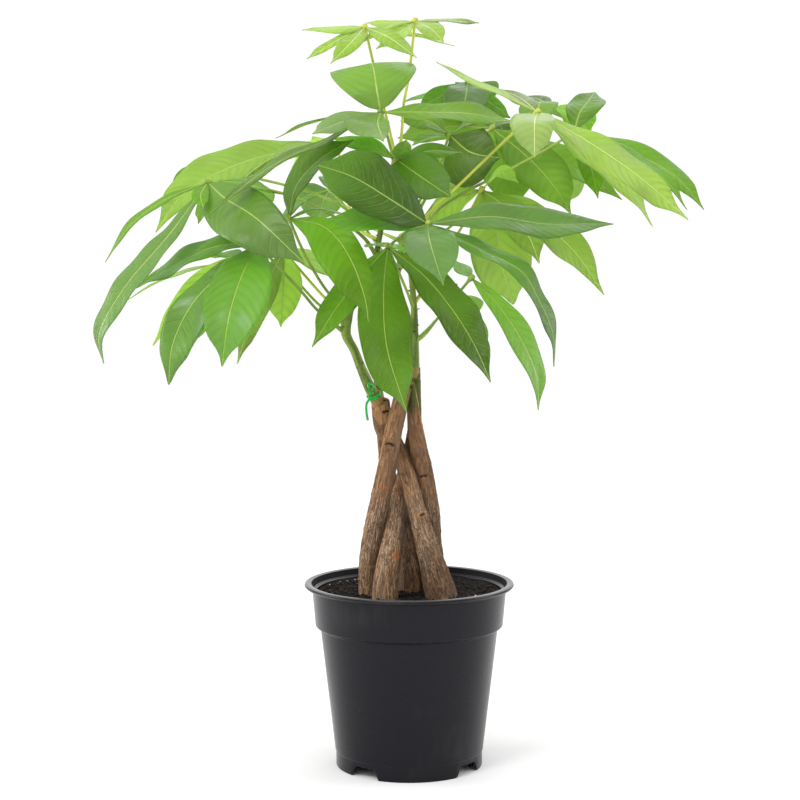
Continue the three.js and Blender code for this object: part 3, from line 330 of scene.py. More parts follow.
        blade(32, 0, 8, (108, 132, 418), (110, 162, 401)),
        blade(32, 36, 8, (120, 116, 426), (133, 122, 415)),
        blade(32, 0, 8, (110, 136, 436), (119, 172, 434)),
    ]),
    "leaf_24": ("mid", [(-18, 40, 305), (5, 54, 304), (20, 66, 320), (29, 74, 333)], [
        blade(32, 36, 8, (39, 74, 319), (50, 66, 294)),
        blade(32, 0, 8, (22, 96, 342), (10, 134, 342)),
        blade(30, 0, 8, (37, 104, 335), (44, 138, 320)),
    ]),
    "leaf_25": ("mid", [(-45, -12, 316), (-64, 4, 330), (-91, 14, 356), (-116, 28, 360)], [
        blade(34, 0, 8, (-120, 42, 333), (-126, 44, 298)),
        blade(32, 36, 8, (-139, 34, 333), (-158, 30, 298)),
        blade(32, 0, 8, (-111, 60, 349), (-108, 92, 333)),
        blade(30, 0, 8, (-132, 58, 367), (-137, 90, 363)),
    ]),
}

# Braided trunks, from the foot up: across, depth and up, and the radius there.
TRUNKS = {
    "trunk_1": [
        (-28.8, -2, 109.8, 7.6), (-28, -4, 147.4, 7.4), (-25.1, -8, 170.5, 7.6), (-20.8, -14, 190.7, 7.6),
        (-16.5, -20, 210.8, 7), (-13.6, -22, 226.5, 7), (-10.8, -20, 242.3, 6.8), (-7.9, -16, 253.7, 6.4),
        (-5.8, -15, 263, 6), (-3.7, -13, 270.8, 5.2),
    ],
    "trunk_2": [
        (-17.3, -20, 109.8, 9.6), (-16.6, -19, 133, 9.4), (-13.7, -15, 151.1, 8.4), (-10.8, -9, 169.1, 7.2),
        (-8, -1, 187.1, 6.6), (-4.4, 6, 201.5, 6.2), (-0.8, 12, 217.9, 5.6), (2.7, 13, 235.1, 4.8),
        (4.5, 10, 255.1, 3.8), (4.5, 8, 285, 3.5),
    ],
    "trunk_3": [
        (2, 17, 109.8, 9.6), (-0.1, 16, 140.2, 9), (-2.3, 15, 161.9, 8.4), (-7.3, 14, 184.9, 7.2),
        (-14.4, 14, 206.5, 6.4), (-17.2, 15, 226.5, 5.6), (-18.6, 15, 244.4, 5), (-19.3, 15, 256.5, 4.6),
    ],
    "trunk_4": [
        (25, -14, 109.8, 12.4), (19.9, -14, 133, 11.8), (13.5, -14, 154.7, 11), (8.5, -13, 172.7, 9.6),
        (3.4, -12, 190.7, 8.2), (-0.8, -8, 206.5, 6.8), (-5.1, -2, 219.4, 6.2), (-10.8, 3, 230.1, 6),
        (-16.5, 2, 240.8, 6.2), (-19, -3, 250.8, 7.2), (-20, -4, 256.5, 7.6), (-20.4, -6, 261.5, 6.4),
    ],
    "trunk_5": [
        (16.4, 18, 109.8, 9.6), (17.1, 17, 140.2, 9), (15.6, 12, 161.9, 8.4), (14.9, 9, 179.9, 7.8),
        (12.7, 4, 194.3, 7.4), (9.9, -1, 212.2, 7.2), (6.3, -4, 230.1, 6.8), (4.1, -4, 244.4, 6),
        (2.7, -4, 258.7, 4.8), (1.3, -3, 275.1, 2.4),
    ],
}

# Green shoots, from the foot up: across, depth and up, and the radius there.
SHOOTS = {
    "shoot_1": [
        (-22.1, -8, 259.4, 4.4), (-27.8, -10, 270.8, 3.9), (-33.5, -12, 283.6, 3.3),
        (-39.1, -14, 297.8, 3.1), (-44.7, -15, 309.1, 4), (-44, -14, 320.5, 2.9), (-40.4, -12, 331.8, 2.4),
        (-32.6, -6, 344.5, 2.2), (-24.8, -1, 358.6, 2.1), (-21.3, 2, 375.5, 2), (-17.7, 0, 396.5, 1.8),
        (-13.5, -8, 417.5, 1.7), (-9.3, -20, 433.6, 2.6),
    ],
    "shoot_2": [
        (4.5, 8, 277.9, 3.1), (4.1, 4, 303.5, 2.9), (3.4, 0, 327.5, 2.6), (1.6, -5, 349.4, 2.3),
        (-0.1, -8, 363.5, 2.1), (-1.5, -8, 375.5, 2.8),
    ],
    "shoot_3": [
        (-19.3, 15, 253.7, 3.6), (-22.1, 24, 272.9, 3.2), (-20, 38, 301.3, 2.8), (-13.6, 52, 333.2, 2.4),
        (-6.5, 60, 360, 2.4), (-5.1, 66, 379, 2.4),
    ],
}

# Marks on the trunks: dark slits, peeled patches and rusty patches, each read across and up in the front
# view, with its half-width and half-height.
MARKS = {
    "trunk_1": [
        ("slit", -14, 231, 3.5, 0.84), ("rust", -18, 203, 4.2, 1.5), ("peel", -20, 215, 1.3, 9.1),
        ("slit", -26, 187, 0.63, 2.4), ("rust", -17, 179, 1.8, 4.2), ("peel", -32, 168, 1.1, 5.6),
        ("peel", -32, 145, 1.4, 1.8), ("peel", -31, 127, 1.4, 3.5), ("peel", -13, 237, 1.7, 2.8),
    ],
    "trunk_2": [
        ("rust", -9, 151, 3.2, 3.2), ("peel", -9, 179, 2.1, 2.8),
    ],
    "trunk_4": [
        ("slit", -16.5, 255, 3, 1.5), ("slit", -12.5, 260.5, 2, 1.6), ("slit", -20, 249.5, 1.8, 0.7),
        ("slit", 10, 180, 2.8, 1.1), ("peel", 9, 180, 6.3, 2.4), ("peel", -4, 212, 1.8, 2.9),
        ("peel", -5, 204, 1.2, 4.2), ("peel", -2, 190, 1.5, 2), ("peel", 0, 199, 0.84, 0.84),
        ("peel", -21, 254, 5.6, 6.3), ("peel", -22, 244, 2.8, 5.6),
    ],
    "trunk_5": [
        ("slit", 10, 210, 3.5, 0.91), ("rust", 10, 207, 2.4, 1.5), ("peel", 11, 244, 1.3, 8.4),
        ("peel", 7, 260, 1, 9.8),
    ],
}

# The length and strength of the peeled look at a stem's end: below 0 it is the top, above 0 the foot.
TRUNK_SHEATH = (-6.0, 0.4)
CUT_SHEATH = (-14.0, 0.85)
SHOOT_SHEATH = (12.0, 0.9)

# The length at a trunk's top that is young and olive.
GREEN_TOPS = {"trunk_2": 44.0, "trunk_5": 26.0}

# White grains that lie in view on the soil.
PERLITE = [(-40, 44), (-45, 39), (-36, 48), (-46, 38), (-52, 29), (44, 18)]


def tint(red, green, blue):
    """A linear colour from a screen colour of 0 to 255."""
    return tuple((part / 255) ** 2.2 for part in (red, green, blue))


# Leaf tones: colour from above, from below, of the light that comes through, of the ribs, and the share of
# light that comes through.
TONES = {
    "young": (tint(150, 190, 66), tint(168, 196, 96), (0.88, 1.0, 0.48), tint(210, 224, 140), 0.42),
    "light": (tint(128, 166, 62), tint(150, 178, 90), (0.8, 1.0, 0.38), tint(196, 212, 122), 0.44),
    "top": (tint(112, 150, 52), tint(132, 162, 80), (0.7, 1.0, 0.3), tint(180, 202, 108), 0.36),
    "mid": (tint(98, 140, 28), tint(120, 152, 68), (0.62, 1.0, 0.25), tint(166, 194, 92), 0.32),
    "deep": (tint(90, 128, 38), tint(112, 142, 68), (0.52, 1.0, 0.22), tint(154, 182, 92), 0.28),
    "dark": (tint(90, 128, 32), tint(110, 142, 64), (0.54, 1.0, 0.22), tint(156, 186, 88), 0.3),
}


class PotLook(bpy.types.PropertyGroup):
    """Size and colour of the pot."""

    sides: bpy.props.IntProperty(
        name="Sides", description="Faces round the pot", default=240, min=48, max=480
    )
    rounding: bpy.props.FloatProperty(
        name="Rounding", description="Radius of the moulded corners", default=0.0004, unit="LENGTH"
    )
    colour: bpy.props.FloatVectorProperty(
        name="Colour", description="Black moulded plastic", default=tint(25, 23, 29), subtype="COLOR", size=3
    )
    roughness: bpy.props.FloatProperty(
        name="Roughness",
        description="Roughness of the plastic",
        default=0.24,
        min=0,
        max=1,
        subtype="FACTOR",
    )


class SoilLook(bpy.types.PropertyGroup):
    """Crumbs and colour of the soil."""

    crumbs: bpy.props.IntProperty(
        name="Crumbs", description="Loose crumbs of peat", default=700, min=0, max=2000
    )
    fibres: bpy.props.IntProperty(
        name="Fibres", description="Reddish fibres and bark bits", default=150, min=0, max=1000
    )
    grains: bpy.props.IntProperty(
        name="Perlite", description="White perlite grains", default=16, min=0, max=400
    )
    colour: bpy.props.FloatVectorProperty(
        name="Colour", description="Damp peat", default=tint(34, 28, 26), subtype="COLOR", size=3
    )


class BarkLook(bpy.types.PropertyGroup):
    """Relief and colours of the trunks."""

    relief: bpy.props.FloatProperty(
        name="Relief", description="Depth of the bark's furrows", default=0.00042, unit="LENGTH"
    )
    brown: bpy.props.FloatVectorProperty(
        name="Brown",
        description="Main colour of the bark",
        default=tint(158, 126, 98),
        subtype="COLOR",
        size=3,
    )
    grey: bpy.props.FloatVectorProperty(
        name="Grey", description="Weathered patches", default=tint(172, 148, 126), subtype="COLOR", size=3
    )
    peeled: bpy.props.FloatVectorProperty(
        name="Peeled",
        description="Fresh bark under a peeled patch",
        default=tint(196, 148, 102),
        subtype="COLOR",
        size=3,
    )


class LeafLook(bpy.types.PropertyGroup):
    """Thickness, waves and veins of the leaves, and how much light comes through them."""

    thickness: bpy.props.FloatProperty(
        name="Thickness", description="Thickness of a blade", default=BLADE_THICKNESS * METRE, unit="LENGTH"
    )
    wave: bpy.props.FloatProperty(
        name="Wave", description="Height of the waves along the edges", default=0.0013, unit="LENGTH"
    )
    vein_spacing: bpy.props.FloatProperty(
        name="Vein spacing",
        description="Distance between side veins",
        default=VEIN_SPACING * METRE,
        unit="LENGTH",
    )
    through: bpy.props.FloatProperty(
        name="Light through",
        description="How much of its tone's share of light a blade lets through",
        default=1.0,
        min=0,
        max=1.5,
    )


class TieLook(bpy.types.PropertyGroup):
    """Colour of the ribbon."""

    colour: bpy.props.FloatVectorProperty(
        name="Colour", description="Green plastic ribbon", default=tint(24, 178, 64), subtype="COLOR", size=3
    )


class StageLook(bpy.types.PropertyGroup):
    """Floor, light and camera."""

    floor: bpy.props.FloatVectorProperty(
        name="Floor", description="Colour of the floor", default=(0.98, 0.98, 0.98), subtype="COLOR", size=3
    )
    surround: bpy.props.FloatProperty(
        name="Surround", description="Strength of the light from all round", default=1.04, min=0
    )
    key: bpy.props.FloatProperty(
        name="Key", description="Power of the main lamp", default=12, min=0, unit="POWER"
    )
    lens: bpy.props.FloatProperty(
        name="Lens", description="Focal length in millimetres", default=81.5, min=10
    )


class Wire:
    """A number in a material, on which arithmetic adds Math nodes."""

    def __init__(self, finish, socket):
        self.finish = finish
        self.socket = socket

    def math(self, operation, *others):
        return self.finish.math(operation, self, *others)

    def __add__(self, other):
        return self.math("ADD", other)

    def __sub__(self, other):
        return self.math("SUBTRACT", other)

    def __mul__(self, other):
        return self.math("MULTIPLY", other)

    def __truediv__(self, other):
        return self.math("DIVIDE", other)

    def __rsub__(self, other):
        return self.finish.math("SUBTRACT", other, self)

    def __rtruediv__(self, other):
        return self.finish.math("DIVIDE", other, self)

    def __abs__(self):
        return self.math("ABSOLUTE")

    __radd__ = __add__
    __rmul__ = __mul__


class Finish:
    """The nodes of one material."""

    def __init__(self, name):
        self.material = bpy.data.materials.new(name)
        self.material.use_nodes = True
        self.tree = self.material.node_tree
        self.tree.nodes.clear()

    def add(self, kind, settings, values, output=0):
        """Adds a node: its settings first, then a value or a wire for each socket that is named."""
        node = self.tree.nodes.new(kind)
        for name, value in settings.items():
            setattr(node, name, value)
        for name, value in values.items():
            socket = node.inputs[name]
            if isinstance(value, Wire):
                self.tree.links.new(value.socket, socket)
            elif socket.type == "RGBA" and len(value) == 3:
                socket.default_value = (*value, 1)
            else:
                socket.default_value = value
        return Wire(self, node.outputs[output])

    def math(self, operation, *values):
        return self.add("ShaderNodeMath", {"operation": operation}, dict(enumerate(values)))

    def vector_math(self, operation, values, output=0):
        return self.add("ShaderNodeVectorMath", {"operation": operation}, values, output)

    def step(self, value, low, high):
        """0 at low and 1 at high, smooth between."""
        values = {"Value": value, "From Min": low, "From Max": high, "To Min": 0.0, "To Max": 1.0}
        settings = {"interpolation_type": "SMOOTHSTEP", "clamp": True}
        return self.add("ShaderNodeMapRange", settings, values)

    def blend(self, share, first, second):
        """Two colours mixed by a share."""
        settings = {"data_type": "RGBA", "blend_type": "MIX", "clamp_factor": True}
        values = {MIX_SHARE: share, MIX_FIRST: first, MIX_SECOND: second}
        return self.add("ShaderNodeMix", settings, values, MIX_RESULT)

    def place(self):
        return self.add("ShaderNodeTexCoord", {}, {}, "Object")

    def attribute(self, name, output="Fac"):
        return self.add("ShaderNodeAttribute", {"attribute_name": name}, {}, output)

    def flat(self, name):
        """A place on one of the piece's own UV maps."""
        return self.add("ShaderNodeUVMap", {"uv_map": name}, {})

    def part(self, vector, axis):
        return self.add("ShaderNodeSeparateXYZ", {}, {"Vector": vector}, axis)

    def mapped(self, vector, scale):
        return self.add("ShaderNodeMapping", {}, {"Vector": vector, "Scale": scale})

    def noise(self, vector, scale, detail=2.0, rough=0.5, output=0):
        values = {"Vector": vector, "Scale": scale, "Detail": detail, "Roughness": rough}
        return self.add("ShaderNodeTexNoise", {}, values, output)

    def cells(self, vector, scale, feature="F1"):
        return self.add("ShaderNodeTexVoronoi", {"feature": feature}, {"Vector": vector, "Scale": scale})

    def bump(self, height, distance, strength=1.0):
        values = {"Height": height, "Distance": distance, "Strength": strength}
        return self.add("ShaderNodeBump", {}, values)

    def surface(self, colour, roughness, normal, **fixed):
        """The main shader. fixed holds the other sockets' values, with _ for each space in a name."""
        values = {"Base Color": colour, "Roughness": roughness, "Normal": normal}
        for name, value in fixed.items():
            values[name.replace("_", " ")] = value
        return self.add("ShaderNodeBsdfPrincipled", {}, values)

    def show(self, shader):
        """Ends the material with a shader."""
        output = self.tree.nodes.new("ShaderNodeOutputMaterial")
        self.tree.links.new(shader.socket, output.inputs["Surface"])
        return self.material

    def show_lit_through(self, front, share, colour):
        """Ends the material with a shader that lets a share of the light through, in that colour."""
        back = self.add("ShaderNodeBsdfTranslucent", {}, {"Color": colour})
        return self.show(self.add("ShaderNodeMixShader", {}, {0: share, 1: front, 2: back}))


def scaled(colour, share):
    """A colour made lighter or darker."""
    return tuple(part * share for part in colour)


def leaf_finish(name, tone, above, look):
    """A blade's upper face or its underside: pale midrib, curved side veins, fine net, gloss and mottling,
    with painted light, shade and sheen.
    """
    upper, under, through, rib, clear = TONES[tone]
    base = upper if above else under
    darker = scaled(base, 0.35)
    lighter = tuple(min(part, 0.95) for part in scaled(base, 1.75))
    mean = sum(base) / 3
    grey_and_sheen = tuple(0.45 * part + 0.75 * mean for part in base)

    # What the surface says of itself: millimetres across and along, shares of both, painted light and shade,
    # and grey and painted sheen.
    finish = Finish(name)
    place = finish.place()
    size, share = finish.flat("size"), finish.flat("share")
    across = (finish.part(size, "X") - 0.5) * MAP_SPAN
    along = finish.part(size, "Y") * MAP_SPAN
    off = abs(across)
    spread = abs(finish.part(share, "X") * 2 - 1)
    reach = finish.part(share, "Y")
    light = finish.attribute("shade")
    grey = finish.attribute("grey")
    mottle = finish.noise(place, 34.0, 4.0)

    # Side veins bend towards the tip and start further on at one side. from_vein is the way to the nearest.
    spacing = look.vein_spacing / METRE
    wobble = (finish.noise(place, 60.0) - 0.5) * 2.6
    count = (along - off * (VEIN_SWEEP + VEIN_BEND * (spread * spread)) + wobble) / spacing
    count = count + VEIN_SHIFT * finish.math("GREATER_THAN", across, 0.0)
    from_vein = (0.5 - abs(count.math("FRACT") - 0.5)) * spacing
    veins = finish.step(from_vein, 0.5, 0.05) * finish.step(spread, 1.0, 0.72) * finish.step(off, 0.3, 1.2)
    midrib = finish.step(off, 0.95 - 0.6 * reach, 0.4 - 0.3 * reach)
    net = finish.step(finish.cells(place, 420.0, "DISTANCE_TO_EDGE"), 0.1, 0.0)

    # The face swells between the veins, more in some places, and the swellings are painted lighter, as light
    # on them. Soft patches shine, with more gloss and a painted sheen.
    bulge = finish.step(from_vein, 0.0, spacing * 0.5)
    lit_swell = finish.step(from_vein, 0.4, spacing * 0.5)
    quilted = finish.step(finish.noise(place, 42.0), 0.42, 0.66) * finish.step(spread, 0.0, 0.35)
    sheen = finish.step(finish.noise(place, 24.0), 0.5, 0.72) * finish.step(spread, 0.05, 0.3)

    # level paints light and shade: the shade layer's painted light, mottling, a little darker towards the
    # edges, and lighter on the swellings.
    level = 0.46 + 0.5 * light + 0.5 * (mottle - 0.5) - 0.08 * (spread - 0.5) + 0.2 * (lit_swell - 0.5) * quilted
    colour = finish.blend(level, darker, lighter)
    # Painted towards a pale grey-green: by grey, partly the blade's own greyish colour and partly painted
    # sheen, and in soft patches as painted sheen.
    colour = finish.blend(0.8 * grey + (0.28 if above else 0.1) * sheen, colour, grey_and_sheen)
    # Painted shade in the creases beside the side veins: darker on the upper face; the underside is lighter.
    colour = finish.blend(0.22 * finish.step(from_vein, 2.0, 0.0), colour, darker if above else lighter)
    colour = finish.blend(0.1 * net, colour, rib)
    colour = finish.blend((0.3 if above else 0.45) * veins, colour, rib)
    colour = finish.blend(0.95 * midrib, colour, rib)

    raised = 0.4 * veins + 0.9 * midrib + 0.1 * net
    swollen = bulge * (0.3 + 0.7 * quilted)
    height = 0.7 * swollen - raised if above else raised - 0.5 * swollen
    height = height + 1.3 * finish.noise(place, 110.0) + 0.05 * finish.noise(place, 900.0)
    rough = (0.24 if above else 0.5) + 0.2 * mottle
    fixed = {
        "Coat_Weight": 0.03 + 0.8 * grey * (0.3 + mottle) + 0.3 * sheen if above else 0.3 * grey,
        "Coat_Roughness": 0.24,
        "Specular_IOR_Level": 0.2 if above else 0.12,
    }
    front = finish.surface(colour, rough, finish.bump(height, 0.0004, 0.7), **fixed)
    passed = look.through * clear * (1.0 - 0.85 * midrib) * (1.0 - 0.3 * veins)
    # The shade layer's painted light also raises the share of light that comes through.
    passed = passed * (0.96 + 0.35 * light + 0.3 * (mottle - 0.5))
    return finish.show_lit_through(front, passed, through)


def rib_finish(name, tone):
    """The pale rib under a blade, which lets some light through."""
    _, under, _, rib, _ = TONES[tone]
    finish = Finish(name)
    streak = finish.noise(finish.place(), 300.0, 3.0)
    colour = finish.blend(0.4 * streak, rib, under)
    normal = finish.bump(streak, 0.0001, 0.4)
    front = finish.surface(colour, 0.4 + 0.2 * streak, normal, Specular_IOR_Level=0.2)
    return finish.show_lit_through(front, 0.55, (0.95, 1.0, 0.7))


def stalk_finish(name, colour, dark):
    """A smooth green stalk or shoot, a little streaked along it, with a brown sheath at its foot."""
    finish = Finish(name)
    place = finish.place()
    streak = finish.noise(finish.mapped(finish.attribute("grain", "Vector"), (1.0, 1.0, 0.12)), 260.0, 3.0)
    patch = finish.noise(place, 45.0, 3.0)
    scar = finish.attribute("scar")
    sheath = finish.attribute("peel")
    dots = finish.step(finish.cells(place, 520.0), 0.22, 0.12)
    mixed = finish.blend(finish.step(streak * 0.5 + patch * 0.5, 0.4, 0.6), dark, colour)
    mixed = finish.blend(0.3 * dots, mixed, tint(190, 196, 130))
    mixed = finish.blend(sheath * finish.step(streak + sheath, 0.6, 1.1), mixed, tint(150, 116, 72))
    mixed = finish.blend(scar, mixed, tint(74, 52, 34))
    # Painted light: the stalk is lighter on the side that faces LIGHT_FROM and darker on the side away.
    lit = 0.92 + 0.35 * finish.attribute("shade")
    mixed = finish.vector_math("SCALE", {0: mixed, "Scale": lit})
    normal = finish.bump(streak * 0.6 + dots * 0.5, 0.0002, 0.6)
    return finish.show(finish.surface(mixed, 0.4 + 0.2 * patch, normal, Specular_IOR_Level=0.3))


def bark_finish(name, look):
    """Bark with short cracks along the trunk, weathered, peeled and rusty patches, and dark slits."""
    finish = Finish(name)
    place = finish.place()
    height, right = finish.part(place, "Z"), finish.part(place, "X")
    grain = finish.attribute("grain", "Vector")
    drift = finish.noise(grain, 110.0, output="Color")
    bent = finish.vector_math("MULTIPLY_ADD", {0: drift, 1: (0.0034, 0.0034, 0.006), 2: grain})
    olive, scar, peel, rust = (finish.attribute(layer) for layer in ("grey", "scar", "peel", "rust"))

    # The older bark low on the trunks is cracked, and the right foot, which faces away from the light, is
    # painted darker as shade.
    low = finish.step(height, 0.235, 0.165)
    shaded_foot = finish.step(height, 0.2, 0.14) * finish.step(right, 0.002, 0.02)
    plates = abs(finish.noise(finish.mapped(bent, (1.0, 1.0, 0.1)), 950.0, 3.0, 0.6) - 0.5)
    slim = abs(finish.noise(finish.mapped(grain, (1.0, 1.0, 0.1)), 520.0, 4.0, 0.6) - 0.5)
    fibre = finish.noise(finish.mapped(bent, (1.0, 1.0, 0.12)), 420.0, 5.0, 0.7)
    broad = finish.noise(finish.mapped(grain, (1.0, 1.0, 0.35)), 60.0, 4.0, 0.65)
    fine = finish.noise(grain, 1300.0, 3.0)
    crack = finish.step(plates, 0.045, 0.005) * (0.2 + 0.6 * low)
    hair = finish.step(slim, 0.03, 0.0) * (1.0 - 0.1 * low)
    flakes = finish.step(finish.noise(bent, 150.0, 4.0, 0.6) * 0.55 + 0.62 * peel, 0.5, 0.6)
    worn = finish.step(rust + 1.1 * (fibre - 0.5) + 0.5 * (broad - 0.5), 0.3, 0.9)

    dark = scaled(look.brown, 0.4)
    warm = tuple(part * share for part, share in zip(look.brown, (1.28, 1.2, 1.12)))
    colour = finish.blend(finish.step(fibre, 0.36, 0.64), scaled(look.brown, 0.68), warm)
    for share, shade in (
        (0.7 * finish.step(broad + 0.14 * low, 0.5, 0.7), look.grey),
        (0.5 * finish.step(broad, 0.42, 0.28), tint(116, 98, 52)),
        (0.45 * finish.step(fine * fibre, 0.26, 0.36), tint(178, 142, 106)),
        # Painted light: the plates between the low cracks are lighter, as light on their raised faces.
        (0.3 * finish.step(plates, 0.08, 0.16) * low, tint(186, 146, 114)),
        (0.5 * (1.0 - low), tint(124, 80, 48)),
        (0.2 * low, tint(164, 122, 90)),
        # Painted shade at the right foot.
        (0.4 * shaded_foot, tint(84, 62, 48)),
    ):
        colour = finish.blend(share, colour, shade)
    # Painted light: the bark is lighter on the side that faces LIGHT_FROM and darker on the side away.
    lit = 0.88 + 0.55 * finish.attribute("shade")
    colour = finish.vector_math("SCALE", {0: colour, "Scale": lit})
    for share, shade in (
        (0.82 * crack, dark),
        (0.6 * hair, dark),
        (olive * finish.step(fibre + 0.4 * olive, 0.5, 0.8), tint(92, 98, 52)),
        (0.82 * flakes, look.peeled),
        (0.3 * flakes * finish.step(fibre, 0.6, 0.4), tint(120, 82, 46)),
        (0.7 * worn, tint(178, 108, 66)),
        (0.85 * finish.step(scar, 0.3, 0.95), tint(44, 30, 24)),
    ):
        colour = finish.blend(share, colour, shade)
    relief = 0.7 * fibre - 1.1 * crack - 0.55 * hair + 0.3 * fine - 0.4 * flakes - 0.8 * scar
    normal = finish.bump(relief, 0.0011)
    return finish.show(finish.surface(colour, 0.7 + 0.2 * fine, normal, Specular_IOR_Level=0.22))


def pot_finish(name, look):
    """Black moulded plastic with a faint grain and scratches up its wall, a shiny lip painted light grey
    as a highlight, and an inside painted near black as shade.
    """
    finish = Finish(name)
    place = finish.place()
    height = finish.part(place, "Z")
    reach = finish.vector_math("LENGTH", {0: finish.mapped(place, (1.0, 1.0, 0.0))}, "Value")

    def within(value, low, high):
        """0 at low and 1 at high, both in millimetres."""
        return finish.step(value, low * METRE, high * METRE)

    lip = within(height, RIM_HEIGHT - 0.9, RIM_HEIGHT - 0.4)
    lip = lip * within(reach, RIM_RADIUS - 5.2, RIM_RADIUS - 4.8)
    ledge = within(height, LEDGE_HEIGHT + 1.0, LEDGE_HEIGHT + 0.8)
    ledge = ledge * within(height, LEDGE_HEIGHT - 0.3, LEDGE_HEIGHT)
    ledge = ledge * within(reach, BAND_TOP_RADIUS - 0.8, BAND_TOP_RADIUS - 1.1)
    inside = within(height, LEDGE_HEIGHT + 0.8, LEDGE_HEIGHT + 1.2)
    inside = inside * within(reach, RIM_RADIUS - 4.8, RIM_RADIUS - 5.1)
    grain = finish.noise(place, 1400.0)
    cloud = finish.noise(place, 16.0, 3.0)
    scuff = finish.noise(finish.mapped(place, (1.0, 1.0, 0.05)), 260.0, 4.0, 0.6)
    dust = finish.step(cloud + 0.3 * scuff, 0.72, 0.95)
    colour = finish.blend(0.16 * dust, look.colour, tint(84, 80, 78))
    # Painted highlight: the lip's top is painted light grey.
    colour = finish.blend(0.5 * lip, colour, tint(104, 102, 106))
    # Painted shade: the inner wall above the ledge is painted near black.
    colour = finish.blend(0.7 * inside, colour, tint(9, 8, 11))
    rough = look.roughness + 0.06 * finish.step(cloud, 0.35, 0.7) + 0.04 * scuff + 0.4 * inside
    gloss = (0.06 + 0.44 * lip + 0.6 * ledge) * (1.0 - inside)
    normal = finish.bump(0.4 * grain + 0.6 * scuff + 2.0 * cloud, 0.0001, 0.3)
    fixed = {"Coat_Weight": gloss, "Coat_Roughness": 0.16, "Specular_IOR_Level": 0.16}
    return finish.show(finish.surface(colour, rough, normal, **fixed))


def soil_finish(name, look):
    """Damp peat, painted darker in its hollows as shade."""
    finish = Finish(name)
    place = finish.place()
    clods = finish.cells(place, 420.0)
    crumb = finish.noise(place, 520.0, 5.0, 0.7)
    patch = finish.noise(place, 60.0, 3.0)
    # Painted shade: darker where the crumbs' relief is low.
    colour = finish.blend(finish.step(crumb, 0.35, 0.7), scaled(look.colour, 0.35), look.colour)
    colour = finish.blend(0.4 * finish.step(patch, 0.5, 0.75), colour, tint(70, 50, 40))
    normal = finish.bump(crumb + clods, 0.0012)
    return finish.show(finish.surface(colour, 0.86 + 0.1 * crumb, normal, Specular_IOR_Level=0.25))


def grain_finish(name, colour, dark, rough, scale):
    """A plain crumbly finish for loose bits."""
    finish = Finish(name)
    speck = finish.noise(finish.place(), scale, 4.0)
    mixed = finish.blend(finish.step(speck, 0.35, 0.65), dark, colour)
    return finish.show(finish.surface(mixed, rough + 0.1 * speck, finish.bump(speck, 0.0004, 0.8)))


def ribbon_finish(name, look):
    """Shiny plastic ribbon with fine pale lines along it, painted as highlights."""
    finish = Finish(name)
    lines = finish.noise(finish.mapped(finish.place(), (1.0, 1.0, 3.0)), 700.0)
    pale = tuple(min(part * 1.9 + 0.05, 1) for part in look.colour)
    # Painted highlights: fine pale lines along the ribbon.
    colour = finish.blend(finish.step(lines, 0.5, 0.75), look.colour, pale)
    normal = finish.bump(lines, 0.0001, 0.6)
    front = finish.surface(colour, 0.22 + 0.1 * lines, normal, Specular_IOR_Level=0.6)
    return finish.show_lit_through(front, 0.25, pale)


def floor_finish(name, colour):
    """A white matt floor."""
    finish = Finish(name)
    cloud = finish.noise(finish.place(), 3.0)
    mixed = finish.blend(0.02 * cloud, colour, (0.96, 0.96, 0.96))
    return finish.show(finish.surface(mixed, 0.95, finish.bump(cloud, 0.0001, 0.1), Specular_IOR_Level=0.0))


# How finely a curve is measured, and how far apart the two places are that give its direction.
CURVE_STEPS = 200
TANGENT_REACH = 0.002

# The rings of a limb's rounded end: the share of the radius and of the end's height.
CAP_RINGS = [(0.1, 1.0), (0.55, 0.85), (0.88, 0.4)]

# The low rings of the stems: the gap between two, and the shoots' relief.
TRUNK_RING_GAP = 27
SHOOT_RING_GAP = 21
SHOOT_RELIEF = 0.1

# Round which way each scar on a shoot lies.
SHOOT_SCAR_ANGLES = (1.0, 3.0, 4.0, 4.7, 5.5)

# The layers of each point: how scarred, peeled and rusty it is, its painted light and shade, and on a
# blade its grey and painted sheen, on a stem its olive.
LAYERS = ("scar", "peel", "rust", "shade", "grey")


def seen(reading):
    """A reading in the front view, carried along the eye's line of sight to its depth."""
    across, depth, up = reading[:3]
    spread = 1 + depth / EYE_DISTANCE
    return Vector((across * spread, depth, EYE_HEIGHT + (up - EYE_HEIGHT) * spread))


